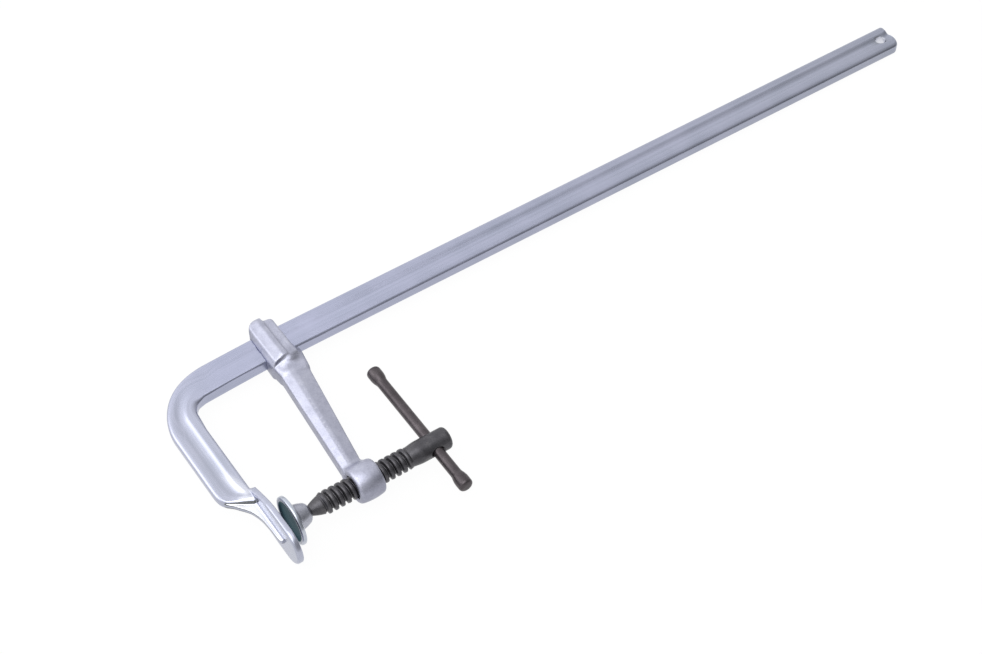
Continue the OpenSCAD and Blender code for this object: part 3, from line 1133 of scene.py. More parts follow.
@dataclass
class RailForging:
    """The bar, the bend, the fixed arm, the web and the jaw plate in one skin."""

    half_t: float = 5.0
    edge_r: float = 2.5
    bar_low: float = 120.0
    bar_w: float = 24.0
    bar_end: float = 635.0
    bend_r: float = 12.5
    bend_outer_r: float = 48.5
    bend_drop: float = 0.8
    sag_from: float = 84.0
    sag_reach: float = 39.0
    sag_power: float = 1.7
    sag_limit: float = 1.7
    ring_gap: float = 2.5
    arm_inner: float = -3.0
    arm_w: float = 22.5
    arm_round: float = 2.2
    bar_round: Pair = (1.2, 3.6)
    arm_brim: float = 3.3
    swell: float = 2.5
    swell_at: float = 0.85
    swell_reach: float = 21.0
    bar_groove: Groove = Groove(((6.0, 0.0), (7.5, 0.06), (9.0, 0.25), (10.5, 0.5), (12.0, 0.68),
                                 (13.5, 0.7), (15.0, 0.5), (16.2, 0.22), (17.2, 0.03),
                                 (17.8, 0.0)))
    arm_groove: Groove = Groove(((5.6, 0.0), (6.3, 0.05), (7.2, 0.38), (8.2, 0.88), (9.5, 1.38),
                                 (11.0, 1.74), (12.5, 1.84), (14.0, 1.72), (15.5, 1.5),
                                 (17.0, 1.35), (18.5, 1.3), (22.5, 1.3)))
    jaw_t: float = 4.5
    jaw_half: float = 15.0
    jaw_top: float = 33.5
    jaw_tip: float = -28.6
    jaw_back_r: float = 1.8
    jaw_front_r: float = 0.7
    web_half: float = 1.5
    web_fillet: float = 1.6
    web_rim: float = 0.6
    step_line: tuple[Pair, Pair] = ((-4.5, 25.1), (-22.6, 34.4))
    step_fall: tuple[Pair, ...] = ((0.3, 0.012), (0.6, 0.045), (0.9, 0.088), (1.3, 0.146),
                                   (1.7, 0.205), (2.1, 0.27), (2.35, 0.33), (2.55, 0.42),
                                   (2.7, 0.55), (2.85, 0.72), (3.0, 0.84), (3.25, 0.93),
                                   (3.6, 0.98), (4.1, 1.0))
    web_path: tuple[Triple, ...] = (
        (22.2, -21.8, 33.0), (21.3, -20.4, 31.7), (19.8, -18.1, 29.2), (18.2, -16.1, 26.4),
        (16.1, -13.6, 23.2), (13.7, -11.3, 19.7), (10.5, -9.7, 15.5), (7.0, -8.5, 11.0),
        (3.0, -7.9, 6.0), (-2.5, -7.5, -1.0), (-8.6, -7.2, -9.0))
    web_end: tuple[Pair, ...] = ((-9.3, -7.1), (-9.9, -6.9), (-10.4, -6.6), (-10.8, -6.3),
                                 (-11.1, -6.15))
    # Strengths of the painted light on the rail: a painted reflection on the hole's wall, painted
    # shade in its countersink, and painted highlights on the step's lip and the groove's spoon.
    hole_wall_reflection: float = 0.75
    countersink_shade: float = 0.4
    lip_highlight: float = 0.4
    spoon_highlight: float = 0.4
    sharp: float = 38.0
    hole: Triple = (625.0, 132.0, 3.75)
    end_corners: Pair = (5.0, 1.3)
    finish: DrawnZinc = field(default_factory=DrawnZinc)

    def build(self, effects: Effects) -> None:
        """Makes the rail and dresses it.

        Args:
            effects: The shared node groups.
        """
        skin = RingStack()
        self._bar(skin)
        self._bend(skin)
        self._arm(skin)
        self._step_and_web(skin)
        self._tip(skin)
        obj = skin.mesh("rail_forging", self.sharp)
        self._drill(obj)
        self._paint_light_marks(obj)
        settle(obj, Body.RAIL, ("rail",), [self.finish.make(effects)])

    def _paint_light_marks(self, obj: bpy.types.Object) -> None:
        """Writes painted highlights, a painted reflection and painted shade into the run's third
        number.

        Args:
            obj: The rail.
        """
        x, y, z = read_rows(obj.data.vertices, "co").T / MM
        normal = read_rows(obj.data.vertex_normals, "vector")
        layer = obj.data.attributes["run"].data
        run = read_rows(layer, "vector")
        run[:, 2] = self._web_light_marks(x, y, np.abs(z), normal) + self._hole_light_marks(x, y)
        run[:, 2] += self._spoon_light_marks(x, y, z)
        layer.foreach_set("vector", run.ravel())

    def _web_light_marks(self, x: np.ndarray, y: np.ndarray, flat: np.ndarray,
                   normal: np.ndarray) -> np.ndarray:
        """Painted highlight on the web and the lip, and painted shade on the wall of the step.

        Args:
            x: Places along the bar.
            y: Heights over the spindle axis.
            flat: Heights over or under the mid-plane.
            normal: Directions that the surface faces.

        Returns:
            The marks.
        """
        back = -self.jaw_t
        below = half_plane(x, y, *self.step_line)
        level = np.abs(normal[:, 2])
        behind = ramp(x, back - 0.3, back - 1.3)
        web = ramp(below, -0.3, 0.3) * ramp(y, -11.6, -11.0)
        # Painted highlight on the web's top, painted shade on the step's wall, and a painted
        # highlight on the lip.
        top = behind * ramp(level, 0.7, 0.95) * ramp(flat, 2.9, 2.1)
        clear = np.maximum(ramp(x, -6.4, -6.8), ramp(normal[:, 1], -0.45, -0.65))
        wall = clear * ramp(x, back - 0.05, back - 0.15) * ramp(level, 0.84, 0.64)
        wall = wall * ramp(flat, 4.6, 4.2) * ramp(flat, 0.75, 1.05)
        lip = ramp(below, -3.2, -2.0) * ramp(below, 0.5, -0.1) * behind * ramp(flat, 3.9, 4.4)
        return web * (top - wall) + self.lip_highlight * lip

    def _hole_light_marks(self, x: np.ndarray, y: np.ndarray) -> np.ndarray:
        """Painted reflection on the wall of the hanging hole and painted shade in its countersink.

        Args:
            x: Places along the bar.
            y: Heights over the spindle axis.

        Returns:
            The marks.
        """
        off = np.hypot(x - self.hole[0], y - self.hole[1]) - self.hole[2]
        # Painted shade in the countersink and a painted reflection on the hole's wall.
        sunk = ramp(off, 1.25, 0.95) * ramp(off, 0.02, 0.12)
        return self.hole_wall_reflection * (off < 0.02) - self.countersink_shade * sunk

    def _spoon_light_marks(self, x: np.ndarray, y: np.ndarray, z: np.ndarray) -> np.ndarray:
        """Painted highlight on the spoon at the end of the arm's groove, on the upper side.

        Args:
            x: Places along the bar.
            y: Heights over the spindle axis.
            z: Heights over the mid-plane.

        Returns:
            The marks.
        """
        aside = np.abs(x + 6.5 + 0.235 * (y - 31.0))
        # Painted highlight on the spoon.
        spoon = ramp(aside, 4.6, 1.0) * ramp(y, 28.5, 32.0) * ramp(y, 58.0, 44.0)
        return self.spoon_highlight * spoon * ramp(z, 1.5, 2.5)

    def _plain_edge(self, soft: float, out: float = 0.0) -> np.ndarray:
        """Points of the plain inner edge.

        Args:
            soft: Width of its rounding.
            out: How far the wall below the rounding swells out.

        Returns:
            Rows of distance from the edge and height.
        """
        tall = min(self.edge_r, soft + 0.3) + 0.5 * out
        rise = [(-out, z) for z in np.linspace(0.0, self.half_t - tall, 7)]
        arc = [((soft + out) * (1 - math.cos(a)) - out, self.half_t - tall * (1 - math.sin(a)))
               for a in quarter(14)]
        flat = [(soft + 0.12 * k, self.half_t) for k in range(1, 8)]
        return np.array(rise + arc + flat)

    def _section(self, width: float, depth: Depth, soft: float, brim: float,
                 out: float = 0.0) -> np.ndarray:
        """Upper half of a plain section, from the inner edge to the outer one.

        Args:
            width: Width of the section.
            depth: Depth of the groove at distances from the inner edge.
            soft: Width of the inner edge's rounding.
            brim: Width of the outer edge's rounding.
            out: How far the inner wall swells out.

        Returns:
            Rows of distance from the inner edge and height.
        """
        inner = self._plain_edge(soft, out)
        outer = width - brim
        u = np.linspace(inner[-1, 0], outer, 61)[1:]
        flat = np.stack([u, self.half_t - depth(u)], -1)
        tall = flat[-1, 1]
        arc = [(outer + brim * math.sin(a), tall - self.edge_r * (1 - math.cos(a)))
               for a in quarter(8)]
        side = [(width, z) for z in np.linspace(tall - self.edge_r, 0.0, 5)[1:]]
        return np.vstack([inner, flat, np.array(arc), np.array(side)])

    def _place(self, section: np.ndarray, origin: Pair,
               away: Pair) -> np.ndarray:
        """Stands a section up at a point of the rail's inner edge.

        Args:
            section: Rows of distance from the inner edge and height.
            origin: Point of the inner edge.
            away: Direction from the inner edge to the outer one.

        Returns:
            Rows of x, y and z.
        """
        x = origin[0] + away[0] * section[:, 0]
        y = origin[1] + away[1] * section[:, 0]
        return np.stack([x, y, section[:, 1]], -1)

    def _bar(self, skin: RingStack) -> None:
        """Adds the straight bar, from its far end, whose two corners are rounded.

        Args:
            skin: The rings of the rail.
        """
        low_r, high_r = self.end_corners
        turn = np.radians(np.linspace(90.0, 0.0, 14))
        stations = sorted({round(self.bar_end - radius * (1 - math.sin(a)), 4)
                           for radius in self.end_corners for a in turn}, reverse=True)
        stations += list(np.arange(self.bar_end - 8, 88.0, -6.0))
        stations += list(np.arange(84.0, 25.0, -3.0))
        fine, wide = self.bar_round
        for x in stations:
            way = self.bar_end - x
            left = self._bar_share(x)
            soft = fine + (wide - fine) * ramp(x, 30.0, 120.0)
            section = self._section(self.bar_w, lambda u: left * self.bar_groove.depth(u),
                                    soft, self.edge_r)
            low = rounding(way, low_r)
            high = rounding(way, high_r)
            u = low + section[:, 0] * (self.bar_w - low - high) / self.bar_w
            start = (x, self.bar_low - self._sag(x))
            skin.add(self._place(np.stack([u, section[:, 1]], -1), start, (0.0, 1.0)), way)

    @staticmethod
    def _bar_share(x: float) -> float:
        """Depth of the bar's groove as a share; bending pressed it flat near the bend."""
        return 0.18 + ramp(x, 24.0, 94.0) + 0.75 * ramp(x, 120.0, 230.0)

    def _sag(self, x: float) -> float:
        """How far the bar already curves down at a place before its bend."""
        return self.bend_drop * (max(self.sag_from - x, 0.0) / self.sag_reach) ** self.sag_power

    def _bend(self, skin: RingStack) -> None:
        """Adds the quarter bend between its inner arc and its wider outer arc.

        Args:
            skin: The rings of the rail.
        """
        start = skin.ways[-1]
        inner_mid = np.array([self.arm_inner + self.bend_r, self.bar_low - self.bend_r])
        outer_mid = np.array([self.arm_inner - self.arm_w + self.bend_outer_r,
                              self.bar_low + self.bar_w - self.bend_outer_r])
        for a in np.radians(np.linspace(0.0, 90.0, 49)):
            share = ramp(a, 0.0, math.pi / 2)
            away = np.array([-math.sin(a), math.cos(a)])
            inner = inner_mid + self.bend_r * away
            outer = outer_mid + self.bend_outer_r * away
            width = float((outer - inner) @ away)
            squeeze = width / (self.bar_w + (self.arm_w - self.bar_w) * share)
            soft = self.bar_round[0] + (self.arm_round - self.bar_round[0]) * share
            brim = self.edge_r + (self.arm_brim - self.edge_r) * share
            near = ramp(abs(a - self.swell_at) * self.bend_r, self.swell_reach, 0.0)
            section = self._section(width, self._bend_groove(share, squeeze), soft, brim,
                                    self.swell * near)
            ring = self._place(section, tuple(inner), tuple((outer - inner) / width))
            sag = np.minimum([self._sag(float(x)) for x in ring[:, 0]], self.sag_limit)
            ring[:, 1] -= sag * ramp(a, 0.9, 0.1)
            skin.add(ring, start + 16.0 + a * (self.bend_r + self.bar_w / 2))

    def _bend_groove(self, share: float, squeeze: float) -> Depth:
        """Groove in the bend, where the bar's fades out and the arm's deeper one begins.

        Args:
            share: How far round the bend it is.
            squeeze: Width of the section as a share of its usual one.

        Returns:
            Depth at distances from the inner edge.
        """
        thin = self._bar_share(self.arm_inner + self.bend_r) * (1.0 - share)
        deep = ramp(share, 0.05, 1.0)
        return lambda u: (thin * self.bar_groove.depth(u, squeeze)
                          + deep * self.arm_groove.depth(u, squeeze))

    def _arm(self, skin: RingStack) -> None:
        """Adds the plain part of the fixed arm."""
        section = self._section(self.arm_w, self.arm_groove.depth, self.arm_round, self.arm_brim)
        for y in np.arange(92.5, 50.5, -self.ring_gap):
            skin.follow(self._place(section, (self.arm_inner, y), (-1.0, 0.0)), self.ring_gap)

    def _jaw_half_width(self, y: float) -> float:
        """Half width of the jaw plate.

        Args:
            y: Height over the spindle axis.

        Returns:
            Half of the width there.
        """
        middle = self.jaw_tip + self.jaw_half
        if y <= middle:
            return math.sqrt(max(self.jaw_half ** 2 - (y - middle) ** 2, 0.0))
        knots = ((middle, self.jaw_half), (0.0, self.jaw_half), (6.0, self.jaw_half - 0.35),
                 (11.0, self.jaw_half - 1.1), (18.0, self.jaw_half - 3.4),
                 (26.0, self.jaw_half - 6.8), (self.jaw_top, self.half_t),
                 (self.jaw_top + 9.0, self.half_t))
        return float(np.interp(y, [k[0] for k in knots], [k[1] for k in knots]))

    def _inside(self, y: float, depth: float) -> Pair:
        """Finds a point of the plate that lies at a depth from its outline.

        Args:
            y: Height over the spindle axis.
            depth: The depth.

        Returns:
            The point's height above the mid-plane, and its true depth.
        """
        middle = self.jaw_tip + self.jaw_half
        if y > middle:
            z = max(self._jaw_half_width(y) - depth, 0.0)
            return z, self._jaw_half_width(y) - z
        z = math.sqrt(max((self.jaw_half - depth) ** 2 - (y - middle) ** 2, 0.0))
        return z, self.jaw_half - math.hypot(y - middle, z)

    def _plate_edge(self, y: float, seat: float) -> np.ndarray:
        """Points round the jaw plate, from its face over its rim to the web.

        Args:
            y: Height over the spindle axis.
            seat: Height above the mid-plane at which the plate's back meets the web.

        Returns:
            Rows of x and z.
        """
        wide = self._jaw_half_width(y)
        room = max(wide - seat, 0.0)
        fit = min(1.0, room / (self.jaw_back_r + self.web_fillet + 0.4))
        back_r = max(self.jaw_back_r * fit, 0.02)
        fillet = self.web_fillet * fit
        rows = []
        for k in range(7):
            depth = wide + (self.jaw_front_r - wide) * (k / 6.0) ** 0.7
            z, real = self._inside(y, max(depth, self.jaw_front_r))
            rows.append((-rounding(real, self.jaw_front_r), z))
        for a in np.radians([22.0, 45.0, 68.0, 90.0]):
            z, real = self._inside(y, self.jaw_front_r * (1 - math.sin(a)))
            rows.append((-rounding(real, self.jaw_front_r), z))
        for share in (0.35, 0.7):
            x = -self.jaw_front_r + (self.jaw_front_r + back_r - self.jaw_t) * share
            rows.append((x, wide))
        for a in np.radians([0.0, 18.0, 36.0, 54.0, 72.0, 90.0]):
            z, real = self._inside(y, back_r * (1 - math.cos(a)))
            z = max(z, min(seat, wide))
            rows.append((-self.jaw_t + rounding(real, back_r), z))
        low = seat + fillet
        top = rows[-1][1]
        for share in (0.25, 0.5, 0.75):
            rows.append((-self.jaw_t, max(top + (low - top) * share, 0.0) if top > low else top))
        for a in np.radians([0.0, 15.0, 30.0, 45.0, 62.0, 90.0]):
            z = low - fillet * math.sin(a)
            rows.append((-self.jaw_t - fillet * (1 - math.cos(a)), min(z, max(top, seat))))
        return np.array(rows)

    def _low_ring(self, y: float, outer: Pair, top: float, rim: float,
                  sunk: Depth, drop: float) -> np.ndarray:
        """One ring of the arm's end, the web and the jaw plate.

        Args:
            y: Height of the ring at the plate.
            outer: Point of the outer outline.
            top: Height of the surface above the mid-plane where it meets the plate.
            rim: Radius of the outer edge.
            sunk: How much lower the surface lies at distances from the inner edge.
            drop: Share of the step that lies behind, from 0 on the arm to 1 on the web.

        Returns:
            Rows of x, y and z.
        """
        plain = self._plain_edge(self.arm_round)
        edge = np.stack([self.arm_inner - plain[:, 0], plain[:, 1]], -1)
        plate = self._plate_edge(y, top)
        grown = ramp(y, self.jaw_top + 1.6, self.jaw_top - 1.0)
        start = edge + (plate - edge) * grown
        rows = [np.stack([start[:, 0], np.full(len(start), y), start[:, 1]], -1)]
        joint = rows[0][-1]
        inward = np.array([joint[0] - outer[0], joint[1] - outer[1]])
        reach = float(np.hypot(*inward))
        inward = inward / max(reach, 1e-6)
        bend = min(rim, reach * 0.5)
        lift = 0.7 * drop * math.exp(-max(34.0 - outer[1], 0.0) / 5.0)
        share = np.linspace(0.0, 1.0, 61)[1:]
        far = np.array([outer[0], outer[1]]) + inward * bend
        x = joint[0] + (far[0] - joint[0]) * share
        yy = joint[1] + (far[1] - joint[1]) * share
        z = joint[2] + lift * ramp(share, 0.35, 1.0)
        z = z - sunk(self.arm_inner - x) * (1.0 - drop)
        rows.append(np.stack([x, yy, z], -1))
        tall = max(z[-1], 0.0)
        soft = min(bend, tall, self.edge_r)
        for a in quarter(8):
            rows.append([*(far - inward * bend * math.sin(a)), tall - soft * (1 - math.cos(a))])
        for left in (0.75, 0.5, 0.25, 0.0):
            rows.append([*outer, (tall - soft) * left])
        return np.vstack(rows)

    def _step_and_web(self, skin: RingStack) -> None:
        """Adds the end of the arm, its slanted step, the web and the upper jaw plate.

        Args:
            skin: The rings of the rail.
        """
        outer_x = self.arm_inner - self.arm_w
        path = smooth_path([
            (50.0, outer_x, 50.0), (44.0, outer_x, 47.0), (38.0, outer_x + 0.05, 43.5),
            (33.5, outer_x + 0.3, 40.6), (29.6, outer_x + 0.9, 38.0), (26.8, outer_x + 2.0, 35.7)],
            60)
        for y, x, outer_y in path:
            skin.follow(self._low_ring(y, (x, outer_y), self.half_t, self.arm_brim,
                                       self._runout(y), 0.0), 0.4)
        for y_step, fall in self.step_fall:
            y = 26.7 - y_step
            outer = (-23.4 + 0.33 * y_step, 35.6 - 0.52 * y_step)
            top = self.half_t + (self.web_half - self.half_t) * fall
            rim = self.arm_brim + (self.web_rim - self.arm_brim) * fall
            skin.follow(self._low_ring(y, outer, top, rim, self._runout(y), fall), 0.3)
        for y, x, outer_y in smooth_path(list(self.web_path), 110):
            skin.follow(self._low_ring(y, (x, outer_y), self.web_half, self.web_rim,
                                       np.zeros_like, 1.0), 0.4)
        for y, x in self.web_end:
            skin.follow(self._low_ring(y, (x, y - 0.1), self.web_half, self.web_rim - 0.1,
                                       np.zeros_like, 1.0), 0.4)

    def _runout(self, y: float) -> Depth:
        """Spoon-shaped end of the arm's groove, with the outer flange a little lower.

        Args:
            y: Height of the ring at the plate.

        Returns:
            How much lower the surface lies at distances from the inner edge.
        """
        slip = 2.4 * ramp(y, 45.0, 29.0)
        left = ramp(y, 28.4, 34.0)
        flange = self.arm_groove.knots[-1][1]

        def sunk(u: np.ndarray) -> np.ndarray:
            """Depth below the arm's top."""
            slope = flange * ramp(u, 3.0, 15.0)
            return slope + (self.arm_groove.depth(u, 1.0, slip) - slope) * left

        return sunk

    def _tip(self, skin: RingStack) -> None:
        """Adds the jaw plate below the web, down to its round tip.

        Args:
            skin: The rings of the rail.
        """
        middle = self.jaw_tip + self.jaw_half
        stations = [-11.3, -11.9, -12.6, middle]
        stations += [middle - self.jaw_half * math.sin(a) for a in quarter(43)]
        spare = len(skin.halves[-1])
        for y in stations:
            plate = self._plate_edge(y, 0.0)
            ring = np.stack([plate[:, 0], np.full(len(plate), y), plate[:, 1]], -1)
            end = np.array([[-self.jaw_t, y, 0.0]])
            if y < middle:
                end[0, 0] += rounding(self.jaw_half - abs(y - middle), self.jaw_back_r)
            ring[-9:, 0] = end[0, 0]
            skin.follow(np.vstack([ring, np.repeat(end, spare - len(ring), axis=0)]), 0.5)

    def _drill(self, obj: bpy.types.Object) -> None:
        """Drills the hanging hole and breaks its edges.

        Args:
            obj: The rail.
        """
        x, y, radius = self.hole
        face = self.half_t - 0.7
        profile = np.array([(-8.0, radius + 3.6), (-face - 0.6, radius + 0.9),
                            (-face + 0.5, radius), (face - 0.5, radius),
                            (face + 0.6, radius + 0.9), (8.0, radius + 3.6)])
        around = 64
        turn = np.linspace(0.0, 2 * math.pi, around, endpoint=False)
        rows = [np.stack([x + r * np.cos(turn), y + r * np.sin(turn), np.full(around, z)], -1)
                for z, r in profile]
        faces = ring_faces(len(rows), around)
        faces.append(tuple(range(around)))
        faces.append(tuple(range((len(rows) - 1) * around, len(rows) * around)))
        cutter = mesh_object("hole_cutter", np.vstack(rows), faces)
        cut_with(obj, cutter, self.sharp)


# Sliding arm


@dataclass
class SlidingArm:
    """The drop-forged arm: the head round the bar, the leaning beam and the threaded boss."""

    boss_x: float = 63.0
    boss_r: float = 13.25
    boss_half: float = 9.75
    boss_bulge: float = 1.15
    bore_r: float = 8.2
    beam_low: float = 13.25
    beam_high: float = 112.0
    beam_w: Pair = (14.7, 21.3)
    beam_mid: Pair = (60.7, 71.1)
    beam_top: float = 7.5
    beam_side: float = 4.7
    head_left: float = 58.8
    head_right: float = 79.2
    head_top: float = 152.6
    cheek_z: float = 9.4
    window: Triple = (119.6, 144.4, 5.4)
    crest: Pair = (0.32, 0.49)
    wall_line: tuple[Pair, Pair] = ((58.7, 5.2), (61.7, 10.3))
    shoulder_z: float = 6.4
    ball: tuple[Triple, Triple] = ((72.0, 114.6, 0.0), (10.4, 9.6, 11.0))
    bump: tuple[Triple, Triple] = ((65.9, 112.8, 0.0), (6.2, 9.6, 7.2))
    grid_low: Triple = (50.5, -14.8, -13.2)
    grid_high: Triple = (86.0, 154.0, 13.2)
    grid_step: float = 0.45
    quick_step: float = 0.8
    finish: ForgedZinc = field(default_factory=ForgedZinc)

    def build(self, effects: Effects) -> None:
        """Makes the arm and dresses it.

        Args:
            effects: The shared node groups.
        """
        step = self.grid_step
        solid = ForgedSolid(self.grid_low, self.grid_high, step)
        obj = solid.build("sliding_arm_forging", self.distance)
        settle(obj, Body.SLIDING_ARM, ("sliding_arm",),
               [self.finish.make(effects)])

    def distance(self, x: np.ndarray, y: np.ndarray, z: np.ndarray) -> np.ndarray:
        """Distance field of the whole arm.

        Args:
            x: Places along the bar.
            y: Heights over the spindle axis.
            z: Places across the thickness.

        Returns:
            The field, negative inside the steel.
        """
        flat = np.abs(z)
        beam = self._beam(x, y, flat)
        boss = self._boss(x, y, flat)
        body = smooth_min(beam, boss, 3.0)
        body = smooth_min(body, self._shoulder(x, y, flat), 2.6)
        body = smooth_min(body, self._wrap(x, y, flat), 2.4)
        body = smooth_min(body, self._ridge(x, y, flat), 2.2)
        return self._openings(body, x, y, flat)

    def _beam(self, x: Any, y: Any, flat: Any) -> Any:
        """Roof-shaped beam, with its crest nearer the fixed arm.

        Args:
            x: Places along the bar.
            y: Heights over the spindle axis.
            flat: Heights over or under the mid-plane.

        Returns:
            The field, negative inside.
        """
        share = (y - self.beam_low) / (self.beam_high - self.beam_low)
        width = self.beam_w[0] + (self.beam_w[1] - self.beam_w[0]) * share
        middle = self.beam_mid[0] + (self.beam_mid[1] - self.beam_mid[0]) * share
        left = middle - width / 2
        right = middle + width / 2
        crest = left + self.crest[0] * width
        back = left + self.crest[1] * width
        rise = self.beam_top - self.beam_side
        slope_left = rise / (crest - left)
        slope_right = rise / (right - back)
        near = (flat - self.beam_side - (x - left) * slope_left) / np.sqrt(1 + slope_left ** 2)
        far = (flat - self.beam_side - (right - x) * slope_right) / np.sqrt(1 + slope_right ** 2)
        roof = smooth_max(near, flat - self.beam_top, 0.3)
        roof = smooth_max(roof, far, 0.3)
        sides = np.maximum(left - x, x - right)
        body = smooth_max(roof, sides, 1.3)
        body = smooth_max(body, half_plane(y, flat, (102.4, self.beam_top), (108.6, 6.6)), 1.8)
        return smooth_max(body, np.maximum(4.0 - y, y - 118.0), 2.0)

    def _boss(self, x: Any, y: Any, flat: Any) -> Any:
        """Barrel-shaped boss along the spindle.

        Args:
            x: Places along the bar.
            y: Heights over the spindle axis.
            flat: Heights over or under the mid-plane.

        Returns:
            The field, negative inside.
        """
        off = (x - self.boss_x) / self.boss_half
        radius = self.boss_r - self.boss_bulge * off * off
        around = np.sqrt(y * y + flat * flat)
        return smooth_max(around - radius, np.abs(x - self.boss_x) - self.boss_half, 2.6)

    def _shoulder(self, x: Any, y: Any, flat: Any) -> Any:
        """Swelling between the beam and the bar, fuller on the side away from the fixed arm.

        Args:
            x: Places along the bar.
            y: Heights over the spindle axis.
            flat: Heights over or under the mid-plane.

        Returns:
            The field, negative inside.
        """
        plan = outline_field(x, y, [
            (self.head_left + 1.3, 103.0), (self.head_left - 0.3, 110.0),
            (self.head_left - 0.4, 118.0), (self.head_left + 0.4, 126.0),
            (self.head_right + 0.4, 127.0), (self.head_right + 2.9, 119.0),
            (self.head_right + 3.2, 111.5), (self.head_right + 0.8, 99.0)], 2.4)
        block = smooth_max(plan, flat - self.shoulder_z, 3.0)
        ball = self._ball(x, y, flat, *self.ball)
        bump = self._ball(x, y, flat, *self.bump)
        return smooth_min(smooth_min(block, ball, 2.4), bump, 4.0)

    @staticmethod
    def _ball(x: Any, y: Any, flat: Any, centre: Triple,
              radii: Triple) -> Any:
        """Ellipsoid, close enough near its surface.

        Args:
            x: Places along the bar.
            y: Heights over the spindle axis.
            flat: Heights over or under the mid-plane.
            centre: Its middle.
            radii: Its three radii.

        Returns:
            The field, negative inside.
        """
        a = (x - centre[0]) / radii[0]
        b = (y - centre[1]) / radii[1]
        c = (flat - centre[2]) / radii[2]
        size = np.sqrt(a * a + b * b + c * c)
        lean = np.sqrt((a / radii[0]) ** 2 + (b / radii[1]) ** 2 + (c / radii[2]) ** 2)
        return size * (size - 1.0) / np.maximum(lean, 1e-6)

    def _wrap(self, x: Any, y: Any, flat: Any) -> Any:
        """Block that wraps round the bar."""
        plan = outline_field(x, y, [
            (self.head_left, 113.0), (self.head_left, self.head_top - 12.0),
            (self.head_left + 2.4, self.head_top - 4.6),
            (self.head_left + 7.0, self.head_top - 1.8),
            (self.head_left + 12.6, self.head_top - 2.2),
            (self.head_right - 1.2, self.head_top - 3.4),
            (self.head_right, self.head_top - 4.6), (self.head_right, 113.0)], 1.4)
        return smooth_max(smooth_max(plan, flat - self.cheek_z, 1.8), self._wall(x, flat), 0.8)

    def _wall(self, x: Any, flat: Any) -> Any:
        """Steep side wall of the head that faces the fixed arm."""
        return half_plane(x, flat, *self.wall_line)

    def _ridge(self, x: Any, y: Any, flat: Any) -> Any:
        """Ridge over each cheek, in line with the beam's crest.

        Args:
            x: Places along the bar.
            y: Heights over the spindle axis.
            flat: Heights over or under the mid-plane.

        Returns:
            The field, negative inside.
        """
        plan = outline_field(x, y, [
            (self.head_left - 0.3, 111.5), (self.head_left - 0.3, self.head_top - 11.0),
            (self.head_left + 2.4, self.head_top - 3.6),
            (self.head_left + 6.4, self.head_top - 0.3),
            (self.head_left + 12.8, self.head_top), (self.head_left + 12.8, 113.5)], 1.2)
        bright = half_plane(x, flat, (self.head_left + 2.9, 10.3), (self.head_left + 9.2, 12.6))
        grey = half_plane(x, flat, (self.head_left + 9.2, 12.6), (self.head_left + 12.8, 12.1))
        roof = smooth_max(smooth_max(self._wall(x, flat), bright, 0.5), grey, 0.4)
        foot = half_plane(y, flat, (106.4, 6.2), (113.8, 12.9))
        end = half_plane(y, flat, (self.head_top - 3.0, 13.0), (self.head_top + 0.4, 9.8))
        roof = smooth_max(roof, smooth_max(foot, end, 1.0), 2.4)
        return smooth_max(plan, roof, 0.9)

    def _openings(self, body: Any, x: Any, y: Any, flat: Any) -> Any:
        """Takes out the window round the bar and the bore of the boss.

        Args:
            body: Field of the solid arm.
            x: Places along the bar.
            y: Heights over the spindle axis.
            flat: Heights over or under the mid-plane.

        Returns:
            The field of the open arm.
        """
        low, high, half = self.window
        gap = np.maximum(np.maximum(low - y, y - high), flat - half)
        body = smooth_max(body, -gap, 0.7)
        around = np.sqrt(y * y + flat * flat)
        mouth = np.abs(x - self.boss_x) - self.boss_half
        flare = np.maximum(mouth + 0.9, 0.0)
        return smooth_max(body, self.bore_r + flare - around, 0.5)


# Spindle and tommy bar


